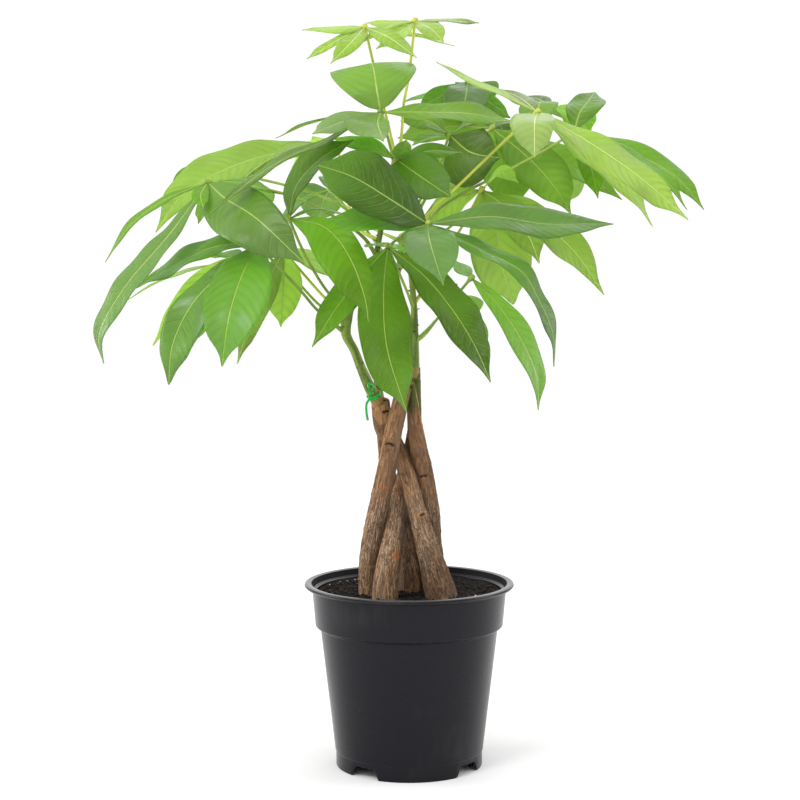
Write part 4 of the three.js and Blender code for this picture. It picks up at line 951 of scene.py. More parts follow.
class Curve:
    """A smooth curve through points, spaced by the roots of their distances and read by shares of length."""

    def __init__(self, points):
        self.points = [Vector(point) for point in points]
        places = [self.at_place(step / CURVE_STEPS) for step in range(CURVE_STEPS + 1)]
        self.lengths = [0.0]
        for before, after in zip(places, places[1:]):
            self.lengths.append(self.lengths[-1] + (after - before).length)

    def at_place(self, place):
        """The point at a share of the count of points."""
        points = self.points
        last = len(points) - 1
        index = min(int(place * last), last - 1)
        weight = place * last - index
        first, second = points[index], points[index + 1]
        before = points[index - 1] if index > 0 else 2 * points[0] - points[1]
        after = points[index + 2] if index + 2 <= last else 2 * points[last] - points[last - 1]
        pairs = ((before, first), (first, second), (second, after))
        early, own, late = ((end - start).length ** 0.5 or 1.0 for start, end in pairs)
        leave = (first - before) / early - (second - before) / (early + own) + (second - first) / own
        arrive = (second - first) / own - (after - first) / (own + late) + (after - second) / late
        leave *= own
        arrive *= own
        square = weight * weight
        cube = square * weight
        return (
            first * (1 - 3 * square + 2 * cube)
            + second * (3 * square - 2 * cube)
            + leave * (weight - 2 * square + cube)
            + arrive * (cube - square)
        )

    def place_of(self, share):
        """The share of the count of points at a share of the length."""
        target = share * self.lengths[-1]
        low, high = 0, len(self.lengths) - 1
        while high - low > 1:
            middle = (low + high) // 2
            if self.lengths[middle] > target:
                high = middle
            else:
                low = middle
        span = self.lengths[high] - self.lengths[low] or 1.0
        return (low + (target - self.lengths[low]) / span) / (len(self.lengths) - 1)

    def at(self, share):
        return self.at_place(self.place_of(share))

    def tangent(self, share):
        place = self.place_of(share)
        low = max(place - TANGENT_REACH, 0)
        high = min(place + TANGENT_REACH, 1)
        return (self.at_place(high) - self.at_place(low)).normalized()

    def length(self):
        return self.lengths[-1]


def smooth_share(value, low, high):
    """0 at low and 1 at high, smooth between."""
    share = min(max((value - low) / (high - low), 0), 1)
    return share * share * (3 - 2 * share)


def add_sheet(mesh, columns, rows, place):
    """Adds a grid and carries each of its points, given by its shares across and along, to its place."""
    made = bmesh.ops.create_grid(mesh, x_segments=columns, y_segments=rows, size=0.5)["verts"]
    shares = {}
    for vert in made:
        shares[vert] = (round(vert.co.x + 0.5, 6), round(vert.co.y + 0.5, 6))
        vert.co = place(*shares[vert])
    return shares


def add_limb(mesh, curve, radius_at, sides, steps, caps, material=0, mark=None):
    """Adds a closed limb along a curve. radius_at gives a radius for a share of the length and a direction,
    caps are the heights of the two rounded ends, and mark gives a point's scar, peel, rust and olive."""
    tangents = [curve.tangent(step / steps) for step in range(steps + 1)]
    normals = [tangents[0].orthogonal().normalized()]
    for before, after in zip(tangents, tangents[1:]):
        normals.append((before.rotation_difference(after) @ normals[-1]).normalized())
    stations = [(0, scale, -rise * caps[0]) for scale, rise in CAP_RINGS]
    stations += [(step, 1.0, 0.0) for step in range(steps + 1)]
    stations += [(steps, scale, rise * caps[1]) for scale, rise in reversed(CAP_RINGS)]
    grain = mesh.verts.layers.float_vector["grain"]
    scar, peel, rust, lit, olive = (mesh.verts.layers.float[name] for name in LAYERS)
    ring = bmesh.ops.create_circle(mesh, cap_ends=False, radius=1, segments=sides)["verts"]
    angles = {vert: math.atan2(vert.co.y, vert.co.x) for vert in ring}
    edges = list({edge for vert in ring for edge in vert.link_edges})
    skin = []
    first = edges
    for index, (step, scale, beyond) in enumerate(stations):
        if index:
            made = bmesh.ops.extrude_edge_only(mesh, edges=edges)["geom"]
            edges = [part for part in made if isinstance(part, bmesh.types.BMEdge)]
            skin += [part for part in made if isinstance(part, bmesh.types.BMFace)]
            before = angles
            angles = {}
            for vert in {vert for edge in edges for vert in edge.verts}:
                others = [edge.other_vert(vert) for edge in vert.link_edges]
                angles[vert] = next(before[other] for other in others if other in before)
        share = step / steps
        tangent, normal = tangents[step], normals[step]
        centre = curve.at(share) + tangent * beyond
        for vert, angle in angles.items():
            out = normal * math.cos(angle) + tangent.cross(normal) * math.sin(angle)
            radius = radius_at(share, out) * scale
            vert.co = centre + out * radius
            place = (radius * math.cos(angle), radius * math.sin(angle), share * curve.length())
            vert[grain] = Vector(place) * METRE
            # The shade layer holds painted light: how far the point faces LIGHT_FROM.
            vert[lit] = out.dot(LIGHT_FROM)
            if mark:
                vert[scar], vert[peel], vert[rust], vert[olive] = mark(share, out, radius, vert)
    skin += bmesh.ops.edgeloop_fill(mesh, edges=first)["faces"]
    skin += bmesh.ops.edgeloop_fill(mesh, edges=edges)["faces"]
    for face in skin:
        face.material_index = material
        face.smooth = True
    bmesh.ops.recalc_face_normals(mesh, faces=skin)


def new_mesh():
    """An empty mesh with the layers that the finishes read."""
    mesh = bmesh.new()
    mesh.verts.layers.float_vector.new("grain")
    for name in LAYERS:
        mesh.verts.layers.float.new(name)
    for name in ("share", "size"):
        mesh.loops.layers.uv.new(name)
    return mesh


def piece_from(mesh, name, materials, slot, nodes=()):
    """Scales a finished mesh to metres and makes it a piece of the object."""
    bmesh.ops.scale(mesh, vec=(METRE, METRE, METRE), verts=list(mesh.verts))
    data = bpy.data.meshes.new(name)
    mesh.to_mesh(data)
    mesh.free()
    piece = bpy.data.objects.new(name, data)
    bpy.context.collection.objects.link(piece)
    for material in materials:
        data.materials.append(material)
    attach(piece, "root")
    if nodes:
        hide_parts(*nodes)


def blended(radii, share):
    """A radius read at evenly counted places, blended in between."""
    place = min(share, 1) * (len(radii) - 1)
    before = min(int(place), len(radii) - 2)
    weight = place - before
    return radii[before] * (1 - weight) + radii[before + 1] * weight


# The places of a leaf's materials.
UPPER, UNDER, STALK, RIB = range(4)

# Blades: the length of a row of faces, the count of columns, the width from which the edges wave in full, and
# how high the face stands between side veins and in broad swellings.
BLADE_ROW_LENGTH = 2.4
BLADE_COLUMNS = 16
FULL_WAVE_WIDTH = 30
BULGE_HEIGHT = 0.18
SWELL_HEIGHT = 0.6


def half_width(share, wide, peak, full):
    """Half-width of a blade: narrow at the root, widest where peak puts it, drawn out to a fine tip."""
    outline = max(math.sin(math.pi * min(share, 1) ** peak), 0) ** full
    drawn = 1 - 0.5 * smooth_share(share, 0.8, 0.96)
    least = BLADE_ROOT_HALF_WIDTH * (1 - share) + BLADE_TIP_HALF_WIDTH * share
    return max(least, 0.5 * wide * outline * drawn)


def add_blade(mesh, hub, traits, look, chance):
    """Adds the upper face of one blade: arched along its path, folded at the midrib, waved at its edges and
    swollen between its side veins. Returns each row's middle, directions across and out, and half-widths."""
    path, wide, lean, fold, shape = traits
    points = [seen(point) for point in (hub, *path)]
    points[0] += (points[1] - points[0]).normalized() * BLADE_ROOT_SINK
    curve = Curve(points)
    heading = curve.at(1) - curve.at(0)
    side = Vector((heading.y, -heading.x, 0)).normalized()
    near = 1 if heading.x > 0 else -1
    turn = math.radians(lean) * near
    crease = math.radians(fold)
    length = curve.length()
    rows = max(20, round(length / BLADE_ROW_LENGTH))
    spacing = look.vein_spacing / METRE
    wave = look.wave / METRE * min(1.0, wide / FULL_WAVE_WIDTH) * chance.uniform(0.6, 1.3)
    turns = length / chance.uniform(34, 52)
    phases = [chance.uniform(0, 1), chance.uniform(0, 1)]
    bend = chance.uniform(0.02, 0.07)
    tone = shape["light"] + chance.uniform(-0.15, 0.15)
    widths = [wide * (1 - shape["skew"] * near), wide * (1 + shape["skew"] * near)]
    spines = []
    for row in range(rows + 1):
        share = row / rows
        along = curve.tangent(share)
        across = Quaternion(along, turn) @ (side - along * side.dot(along)).normalized()
        halves = [half_width(share, width, shape["peak"], shape["full"]) for width in widths]
        spines.append((curve.at(share), across, across.cross(along).normalized(), halves))

    def aside(around):
        """How far a point is off the midrib, from -1 to 1, with the columns closer together there."""
        offset = around * 2 - 1
        return math.copysign(abs(offset) ** 1.25, offset)

    def place(around, along):
        centre, across, face, halves = spines[round(along * rows)]
        offset = aside(around)
        right = offset > 0
        half = halves[right]
        edge = abs(offset)
        off_rib = min(1, 3 * edge)
        body = smooth_share(along, 0.04, 0.25) * smooth_share(along, 1.0, 0.8)
        rise = half * math.sin(crease) * (math.sqrt(edge * edge + 0.02) - 0.1414) / 0.8686
        phase = phases[0] if right else phases[1]
        ripple = wave * math.sin(2 * math.pi * (turns * along + phase)) * edge**1.6 * body
        count = (along * length - edge * half * (VEIN_SWEEP + VEIN_BEND * edge * edge)) / spacing
        count += VEIN_SHIFT if right else 0
        bulge = BULGE_HEIGHT * abs(math.sin(math.pi * count)) * off_rib * (1 - edge**3) * body
        spot = Vector((along * length / 15, offset * half / 9, 10 * phases[0]))
        swell = SWELL_HEIGHT * noise.noise(spot) * off_rib * (1 - edge**4) * body * min(1, wide / 26)
        droop = -bend * half * edge**3
        lift = rise + ripple + bulge + swell + droop - 0.15
        return centre + across * (half * math.cos(crease) * offset) + face * lift

    shares = add_sheet(mesh, BLADE_COLUMNS, rows, place)
    shade = mesh.verts.layers.float["shade"]
    grey = mesh.verts.layers.float["grey"]
    share_map = mesh.loops.layers.uv["share"]
    size_map = mesh.loops.layers.uv["size"]
    # Each point's shade is painted light and shade: the blade's light, with the face painted lighter where it
    # turns towards LIGHT_FROM and darker where it turns away.
    mesh.normal_update()
    facing = {vert: vert.normal.dot(LIGHT_FROM) for vert in shares}
    usual = sum(facing.values()) / len(facing)
    for vert, (around, along) in shares.items():
        vert[shade] = tone + max(-0.5, min(0.5, 1.2 * (facing[vert] - usual)))
        vert[grey] = shape["grey"]
        offset = aside(around)
        half = spines[round(along * rows)][3][offset > 0]
        for loop in vert.link_loops:
            loop[share_map].uv = ((offset + 1) / 2, along)
            loop[size_map].uv = (offset * half / MAP_SPAN + 0.5, along * length / MAP_SPAN)
            loop.face.smooth = True
    return spines


def thickened(mesh, thickness):
    """The mesh with a wall of that thickness below it, whose far side has the second material."""
    shell = as_object(mesh, "blade_shell")
    for _ in range(RIB + 1):
        shell.data.materials.append(None)
    wall = shell.modifiers.new("wall", "SOLIDIFY")
    wall.thickness = thickness
    wall.offset = -1
    wall.material_offset = UNDER
    wall.material_offset_rim = UPPER
    return as_mesh(shell)


def rib_radius(share, out):
    """Radius of the rib under a blade, which thins out towards the tip."""
    return RIB_RADIUS - RIB_TAPER * share


def build_leaf(name, look, materials):
    """One palmate leaf: its blades, the ribs under them, its stalk and the hub that carries the blades."""
    tone, stem, blades = LEAVES[name]
    chance = random.Random(name)
    mesh = new_mesh()
    ribs = [add_blade(mesh, stem[-1], traits, look, chance) for traits in blades]
    mesh = thickened(mesh, look.thickness / METRE)
    for spines in ribs:
        centres = [centre - face * RIB_DROP for centre, _, face, _ in spines]
        rib = Curve(centres[:: (len(spines) - 1) // 8])
        add_limb(mesh, rib, rib_radius, sides=6, steps=14, caps=(0.2, 0.1), material=RIB)
    points = [seen(point) for point in stem]
    end = (points[-1] - points[-2]).normalized() * HUB_HEIGHT
    stalk = Curve([*points, points[-1] + end])
    swell = HUB_SWELL_LENGTH / stalk.length()

    def radius_at(share, out):
        thin = STALK_FOOT_RADIUS + (STALK_RADIUS - STALK_FOOT_RADIUS) * min(1, share * 5)
        return thin + (HUB_RADIUS - thin) * smooth_share(share, 1 - 1.3 * swell, 1 - 0.3 * swell)

    steps = max(16, round(stalk.length() / 3))
    add_limb(mesh, stalk, radius_at, sides=12, steps=steps, caps=(0.5, 0.9), material=STALK)
    piece_from(mesh, name + "_fine", materials, "leaf_" + tone, [name])


def mark_on(rows, across, up):
    """Where a mark read in the front view lies on a stem: its share of the length, and its direction."""
    curve = Curve([seen(row) for row in rows])
    share = 0.5
    for _ in range(3):
        target = seen((across, curve.at(share).y, up))
        share = min((step / 300 for step in range(301)), key=lambda part: abs(curve.at(part).z - target.z))
    radius = blended([row[3] for row in rows], share)
    offset = max(-0.95, min(0.95, (target.x - curve.at(share).x) / radius))
    return share, Vector((offset, -math.sqrt(1 - offset * offset), 0))


def stem_marks(name, rows, chance, count):
    """The marks on a stem: those that the front view shows, and a few more round its back."""
    marks = []
    for kind, across, up, wide, high in MARKS.get(name, ()):
        marks.append((kind, *mark_on(rows, across, up), wide, high))
    for _ in range(count):
        angle = chance.uniform(0.1, 0.9) * math.pi
        towards = Vector((math.cos(angle), math.sin(angle), 0))
        kind = chance.choice(("slit", "peel", "peel", "rust"))
        high = chance.uniform(0.7, 1.1) if kind == "slit" else chance.uniform(2, 7)
        marks.append((kind, chance.uniform(0.2, 0.95), towards, chance.uniform(1.4, 3.6), high))
    return marks


def marker(marks, length, sheath, green=0.0):
    """A function that gives the scar, peel, rust and olive of a point on a stem, and dents the stem there.
    sheath is the length and the strength of the peeled look at the stem's foot, or at its top where the
    length is below 0, and green is the length at the top that is young and olive."""

    def mark(share, out, radius, vert):
        scar, peel, rust = 0.0, 0.0, 0.0
        for kind, place, towards, wide, high in marks:
            along = (share - place) * length
            if abs(along) > 1.6 * high + 2:
                continue
            around = math.acos(max(-1, min(1, out.dot(towards)))) * max(radius, 1)
            if around > 1.6 * wide + 2:
                continue
            ragged = 0.5 * noise.noise(vert.co * 0.7)
            arc = 0.12 * around - 0.22 * around * around / wide
            far = math.hypot(around / wide, (along - arc) / high) + ragged
            inside = 1 - smooth_share(far, 0.8, 1.35)
            if kind == "slit":
                lip = 1 - smooth_share(math.hypot(around / (wide + 1.2), along / (high + 1.4)), 0.5, 1.0)
                scar = max(scar, inside)
                peel = max(peel, 0.35 * lip)
                vert.co += out * (0.35 * lip - 0.8 * inside)
            elif kind == "peel":
                peel = max(peel, inside)
                vert.co -= out * (0.15 * inside)
            else:
                rust = max(rust, inside)
                vert.co += out * (0.12 * inside)
        reach = abs(sheath[0])
        away = share * length if sheath[0] > 0 else (1 - share) * length
        peel = max(peel, sheath[1] * (1 - smooth_share(away, 0.4 * reach, reach)))
        olive = 1 - smooth_share((1 - share) * length, 0.5 * green, green) if green else 0.0
        return scar, peel, rust, olive

    return mark


def rough_radius(radii, seed, relief, ring_gap, length):
    """A stem's radius with short furrows along it, slow swellings and a low ring at each node."""

    def radius_at(share, out):
        radius = blended(radii, share)
        along = share * length
        swelling = noise.noise(Vector((out.x * 1.1, out.y * 1.1, along * 0.045 + seed * 3)))
        sway = 0.5 * swelling
        low = 1 - 0.6 * smooth_share(along, 0.45 * length, 0.75 * length)
        deep = noise.noise(Vector((out.x * radius * 0.6 + sway, out.y * radius * 0.6, along * 0.1 + seed)))
        fine = noise.noise(Vector((out.x * radius * 1.3, out.y * radius * 1.3 + sway, along * 0.22 + seed)))
        furrow = 0.35 - max(0.0, 1 - abs(deep) * 7) + 0.8 * fine
        ring = math.exp(-(((along + 3 * swelling) % ring_gap - ring_gap / 2) ** 2) / 1.6)
        return radius * (1 + 0.045 * swelling) + relief * low * furrow + 0.5 * relief * ring - 0.1

    return radius_at


def rooted(rows):
    """A trunk's rows with its root below the soil."""
    across, depth, up, radius = rows[0]
    return [(across * 0.95, depth, up - ROOT_DEPTH, radius), *rows]


def add_thorns(mesh, curve, radii, chance, count, size, low):
    """Adds short pointed stubs, such as broken twigs and bud scales, on a stem, from a share of its length
    up."""
    for _ in range(count):
        share = chance.uniform(low, 0.98)
        angle = chance.uniform(0, 2 * math.pi)
        out = Vector((math.cos(angle), math.sin(angle), chance.uniform(-0.4, 0.7))).normalized()
        foot = curve.at(share) + out * (blended(radii, share) - 0.8)
        reach = size * chance.uniform(0.6, 1.3)
        turn = (chance.uniform(-0.3, 0.3), chance.uniform(-0.3, 0.3), chance.uniform(0, 0.6))
        bend = Vector(turn) * reach
        stub = Curve([foot, foot + out * (0.8 + 0.5 * reach), foot + out * (0.8 + reach) + bend * 0.5])
        thick = 0.16 * size + 0.25

        def radius_at(part, out, thick=thick):
            return thick * (1 - 0.85 * part)

        add_limb(mesh, stub, radius_at, sides=7, steps=8, caps=(0.1, 0.1), mark=dark_mark)


def dark_mark(share, out, radius, vert):
    """The scar, peel, rust and olive of a stub: dark all over."""
    return 0.6, 0.0, 0.0, 0.0


def build_trunk(name, look, material):
    """One trunk, with furrowed bark, rings, scars and a few broken twigs."""
    rows = rooted(TRUNKS[name])
    curve = Curve([seen(row) for row in rows])
    length = curve.length()
    chance = random.Random(name)
    marks = stem_marks(name, rows, chance, count=6)
    radii = [row[3] for row in rows]
    radius_at = rough_radius(radii, chance.uniform(0, 90), look.relief / METRE, TRUNK_RING_GAP, length)
    sheath = CUT_SHEATH if name == "trunk_4" else TRUNK_SHEATH
    mark = marker(marks, length, sheath, GREEN_TOPS.get(name, 0.0))
    mesh = new_mesh()
    sides, steps = ((96, 300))
    add_limb(mesh, curve, radius_at, sides, steps, caps=(0, 1.0), mark=mark)
    add_thorns(mesh, curve, radii, chance, count=4, size=2.0, low=0.5)
    piece_from(mesh, name + "_bark", [material], "bark", [name])


def build_shoot(name, material):
    """One green shoot, with a low ring, a scar and a bud scale at each node."""
    rows = SHOOTS[name]
    curve = Curve([seen(row) for row in rows])
    length = curve.length()
    chance = random.Random(name)
    marks = []
    for angle in SHOOT_SCAR_ANGLES:
        towards = Vector((math.cos(angle), math.sin(angle), 0))
        marks.append(("slit", chance.uniform(0.1, 0.95), towards, chance.uniform(1.2, 2.4), 0.7))
    radii = [row[3] for row in rows]
    radius_at = rough_radius(radii, chance.uniform(0, 90), SHOOT_RELIEF, SHOOT_RING_GAP, length)
    mesh = new_mesh()
    mark = marker(marks, length, SHOOT_SHEATH)
    add_limb(mesh, curve, radius_at, sides=36, steps=200, caps=(0, 0.9), mark=mark)
    add_thorns(mesh, curve, radii, chance, count=9, size=2.6, low=0.3)
    piece_from(mesh, name + "_skin", [material], "green_stem", [name])


def pot_profile():
    """The pot's closed profile of radius and height, from under its floor, out and up, and back inside."""
    wall = POT_WALL
    return [
        (0, FLOOR_UNDERSIDE),
        (FOOT_RADIUS - wall - 1, FLOOR_UNDERSIDE),
        (FOOT_RADIUS - wall, FLOOR_UNDERSIDE - 1),
        (FOOT_RADIUS - wall, 0),
        (FOOT_RADIUS, 0),
        (FOOT_RADIUS + 0.1, FOOT_RING_HEIGHT - 0.5),
        (FOOT_RADIUS + 0.6, FOOT_RING_HEIGHT),
        (BODY_TOP_RADIUS, BODY_TOP_HEIGHT),
        (BAND_FOOT_RADIUS, BAND_FOOT_HEIGHT),
        (BAND_TOP_RADIUS, RIM_HEIGHT - 4.4),
        (RIM_RADIUS - 1.4, RIM_HEIGHT - 3.2),
        (RIM_RADIUS, RIM_HEIGHT - 1.7),
        (RIM_RADIUS - 0.5, RIM_HEIGHT - 0.5),
        (RIM_RADIUS - 1.7, RIM_HEIGHT),
        (RIM_RADIUS - 5.1, RIM_HEIGHT - 0.4),
        (BAND_TOP_RADIUS - 1.2, LEDGE_HEIGHT + 0.6),
        (BAND_TOP_RADIUS - wall - 1.6, LEDGE_HEIGHT),
        (BAND_FOOT_RADIUS - wall, BAND_FOOT_HEIGHT + 1),
        (BODY_TOP_RADIUS - wall, BODY_TOP_HEIGHT + 1),
        (FOOT_RADIUS - wall + 0.4, FLOOR_TOP + 1),
        (FOOT_RADIUS - wall - 0.6, FLOOR_TOP),
        (0, FLOOR_TOP),
    ]


def turned(mesh, profile, steps, rounding=0.0):
    """Adds a profile turned round the pot's axis, with its corners rounded first."""
    verts = [mesh.verts.new((radius, 0, height)) for radius, height in profile]
    edges = [mesh.edges.new(pair) for pair in zip(verts, verts[1:])]
    if rounding:
        bmesh.ops.bevel(
            mesh,
            geom=verts[1:-1],
            offset=rounding,
            offset_type="OFFSET",
            affect="VERTICES",
            segments=4,
            profile=0.5,
            material=-1,
        )
        verts, edges = list(mesh.verts), list(mesh.edges)
    bmesh.ops.spin(
        mesh,
        geom=[*verts, *edges],
        cent=(0, 0, 0),
        axis=(0, 0, 1),
        angle=2 * math.pi,
        steps=steps,
        use_merge=True,
    )
    bmesh.ops.remove_doubles(mesh, verts=list(mesh.verts), dist=1e-4)
    bmesh.ops.recalc_face_normals(mesh, faces=list(mesh.faces))
    for face in mesh.faces:
        face.smooth = True


def notch_ways():
    """The directions of the foot ring's notches, which the drain holes share."""
    for notch in range(NOTCH_COUNT):
        angle = math.radians(FIRST_NOTCH_ANGLE + notch * 360 / NOTCH_COUNT)
        yield Vector((math.sin(angle), -math.cos(angle)))


def notch_height(place):
    """How far the foot ring is cut up at a place round it."""
    height = 0.0
    slope = (NOTCH_FOOT_WIDTH - NOTCH_TOP_WIDTH) / 2
    for towards in notch_ways():
        if place.dot(towards) > 0:
            aside = abs(place.x * towards.y - place.y * towards.x)
            height = max(height, min(1.0, (NOTCH_FOOT_WIDTH / 2 - aside) / slope) * NOTCH_HEIGHT)
    return height


def build_pot(look, material):
    """The pot: a turned shell with a rolled lip, a band, a notched foot ring and drain holes."""
    mesh = new_mesh()
    turned(mesh, pot_profile(), look.sides, look.rounding / METRE)
    for vert in mesh.verts:
        if vert.co.z < FOOT_EDGE_HEIGHT and vert.co.xy.length > 1:
            vert.co.z += notch_height(vert.co.xy)
    cutter = bmesh.new()
    for towards in notch_ways():
        middle = (*(towards * DRAIN_RING_RADIUS), (FLOOR_UNDERSIDE + FLOOR_TOP) / 2)
        made = bmesh.ops.create_cone(
            cutter, cap_ends=True, segments=40, radius1=DRAIN_RADIUS, radius2=DRAIN_RADIUS, depth=6
        )["verts"]
        bmesh.ops.translate(cutter, verts=made, vec=middle)
    piece_from(cut_away(mesh, cutter), "pot_shell", [material], "pot", ["pot"])


def as_object(mesh, name):
    """A mesh as a loose object, for a modifier to work on."""
    data = bpy.data.meshes.new(name)
    mesh.to_mesh(data)
    mesh.free()
    loose = bpy.data.objects.new(name, data)
    bpy.context.collection.objects.link(loose)
    return loose


def as_mesh(loose):
    """The mesh of a loose object with its modifiers applied. The object goes."""
    view = bpy.context.evaluated_depsgraph_get()
    shape = loose.evaluated_get(view)
    mesh = bmesh.new()
    mesh.from_mesh(shape.to_mesh())
    shape.to_mesh_clear()
    data = loose.data
    bpy.data.objects.remove(loose)
    bpy.data.meshes.remove(data)
    return mesh


def cut_away(mesh, cutter):
    """The first mesh with the second cut out of it."""
    body = as_object(mesh, "pot_body")
    tool = as_object(cutter, "drain_cutter")
    cut = body.modifiers.new("drains", "BOOLEAN")
    cut.operation = "DIFFERENCE"
    cut.solver = "EXACT"
    cut.object = tool
    result = as_mesh(body)
    as_mesh(tool).free()
    return result


def soil_relief(x, y):
    """Height of the soil's lumps."""
    slow = 0.8 * math.sin(x * 0.31 + y * 0.17) * math.cos(y * 0.29 - x * 0.12)
    quick = noise.noise(Vector((x * 0.45, y * 0.45, 3.1)))
    fine = noise.noise(Vector((x * 1.3, y * 1.3, 8.4)))
    return 0.6 * slow + 0.9 * quick + 0.45 * fine


def soil_level(share):
    """Height of the soil's top without its lumps, by the share of the way from the edge to the middle."""
    return SOIL_EDGE_HEIGHT - SOIL_DIP * math.sin(share * math.pi / 2)


def build_soil(material):
    """The soil: a turned body that fills the pot, lumpy on top."""
    mesh = new_mesh()
    foot = [(0, SOIL_FLOOR), (SOIL_FLOOR_RADIUS, SOIL_FLOOR)]
    edge = [(SOIL_EDGE_RADIUS, SOIL_EDGE_HEIGHT)]
    shares = [ring / SOIL_RINGS for ring in range(1, SOIL_RINGS + 1)]
    top = [(SOIL_EDGE_RADIUS * (1 - share), soil_level(share)) for share in shares]
    turned(mesh, foot + SOIL_SHOULDER + edge + top, SOIL_SIDES)
    for vert in mesh.verts:
        inwards = SOIL_EDGE_RADIUS - vert.co.xy.length
        if vert.co.z > BAND_FOOT_HEIGHT + 5 and inwards > 0.1:
            vert.co.z += soil_relief(vert.co.x, vert.co.y) * min(1, inwards / SOIL_EDGE_CALM)
    piece_from(mesh, "soil_bed", [material], "soil", ["soil"])


def soil_height(x, y):
    """Height of the soil's top at a place."""
    share = 1 - math.hypot(x, y) / SOIL_EDGE_RADIUS
    return soil_level(share) + soil_relief(x, y) * min(1, share * SOIL_EDGE_RADIUS / SOIL_EDGE_CALM)


def scatter(name, count, materials, size, seed, stretch=1.0, spots=()):
    """Loose bits pressed into the soil's top: rough grains, or fibres where they are stretched. Some lie at
    given spots, before the others."""
    chance = random.Random(seed)
    mesh = new_mesh()
    places = list(spots)
    while len(places) < count + len(spots):
        reach = (SOIL_EDGE_RADIUS - 2.5) * math.sqrt(chance.random())
        angle = chance.uniform(0, 2 * math.pi)
        places.append((reach * math.cos(angle), reach * math.sin(angle)))
    for x, y in places:
        made = bmesh.ops.create_icosphere(mesh, subdivisions=1, radius=1)["verts"]
        width = size * chance.uniform(0.45, 1.2)
        long = width * stretch * chance.uniform(0.6, 1.5)
        bmesh.ops.scale(mesh, verts=made, vec=(long, width, width * 0.7))
        for vert in made:
            vert.co *= chance.uniform(0.78, 1.15)
        spin = Quaternion((0, 0, 1), chance.uniform(0, 2 * math.pi))
        tilt = Quaternion((0, 1, 0), chance.uniform(-0.25, 0.25))
        bmesh.ops.rotate(mesh, verts=made, cent=(0, 0, 0), matrix=(spin @ tilt).to_matrix())
        bmesh.ops.translate(mesh, verts=made, vec=(x, y, soil_height(x, y) + width * 0.25))
        for face in {face for vert in made for face in vert.link_faces}:
            face.smooth = stretch < 2
            face.material_index = chance.randrange(len(materials))
    piece_from(mesh, name, materials, "soil")


def add_ribbon(mesh, curve, towards, steps, width):
    """Adds a flat ribbon along a curve, its face held towards a direction."""

    def place(around, along):
        face = towards(along)
        across = curve.tangent(along).cross(face).normalized()
        hollow = 0.12 * math.cos(2 * math.pi * (around - 0.5))
        return curve.at(along) + across * (width * (around - 0.5)) + face * hollow

    add_sheet(mesh, 6, steps, place)


def bow_point(step):
    """A point of the bow's loop, which has ten steps to each of its three slightly bowed sides."""
    corner, place = divmod(step, 10)
    start, end = (Vector(BOW_CORNERS[index % 3]) for index in (corner, corner + 1))
    share = place / 10
    return Vector(BOW_CENTRE) + start.lerp(end, share) * (1 - 0.12 * math.sin(math.pi * share))


def build_tie(material):
    """The ribbon: two turns round the shoot's foot, a knot, a small bow and a hanging tail."""
    mesh = new_mesh()
    axis = Vector(TIE_AXIS).normalized()
    side = axis.orthogonal().normalized()
    front = axis.cross(side)

    def round_shoot(share):
        angle = 2 * math.pi * share
        return side * math.cos(angle) + front * math.sin(angle)

    def round_bow(share):
        angle = 2 * math.pi * share
        return Vector((1.6 * math.cos(angle), -0.6, math.sin(angle))).normalized()

    def down_tail(share):
        return Vector((0.5 * share, -1, 0.1)).normalized()

    for lift, wide, slant in TIE_TURNS:
        ring = []
        for step in range(TURN_STEPS + 1):
            share = step / TURN_STEPS
            rise = lift + slant * math.sin(2 * math.pi * share)
            out = round_shoot(share) * (TIE_RADIUS - 0.2 + 0.2 * lift)
            ring.append(Vector(TIE_CENTRE) + out + axis * rise)
        add_ribbon(mesh, Curve(ring), round_shoot, 64, wide)
    bow = [bow_point(step) for step in (*range(0, 31, 3), 0)]
    add_ribbon(mesh, Curve(bow), round_bow, 48, RIBBON_WIDTH * 0.5)
    add_ribbon(mesh, Curve(TAIL), down_tail, 24, RIBBON_WIDTH * 0.55)
    solid = thickened(mesh, RIBBON_THICKNESS)
    knot = bmesh.ops.create_icosphere(solid, subdivisions=3, radius=1)["verts"]
    for vert in knot:
        angle = math.atan2(vert.co.z, vert.co.x)
        pleat = 1 + 0.1 * math.sin(KNOT_PLEATS * angle) * (1 - vert.co.y**2)
        spread = Vector((KNOT_RADIUS * pleat, KNOT_RADIUS, KNOT_HEIGHT * pleat))
        vert.co = Vector(KNOT_CENTRE) + vert.co * spread
    for face in solid.faces:
        face.material_index = 0
        face.smooth = True
    piece_from(solid, "tie_ribbon", [material], "tie", ["tie"])


def add_lamp(name, place, towards, size, power):
    """A soft square lamp."""
    data = bpy.data.lights.new(name, "AREA")
    data.shape = "SQUARE"
    data.size = size
    data.energy = power
    lamp = bpy.data.objects.new(name, data)
    bpy.context.collection.objects.link(lamp)
    lamp.location = place
    lamp.rotation_euler = (Vector(towards) - Vector(place)).to_track_quat("-Z", "Y").to_euler()


# Lamps: place, the height on the axis that each is turned to, size, and share of the main lamp's power.
LAMPS = [
    ("key", (-0.9, -1.3, 1.7), 0.35, 0.6, 1.0),
    ("side", (-1.5, 0.1, 0.5), 0.25, 0.7, 0.6),
    ("fill", (1.5, 0.0, 0.5), 0.2, 0.7, 0.6),
    ("back", (0.4, 1.4, 1.5), 0.4, 1.0, 0.3),
]


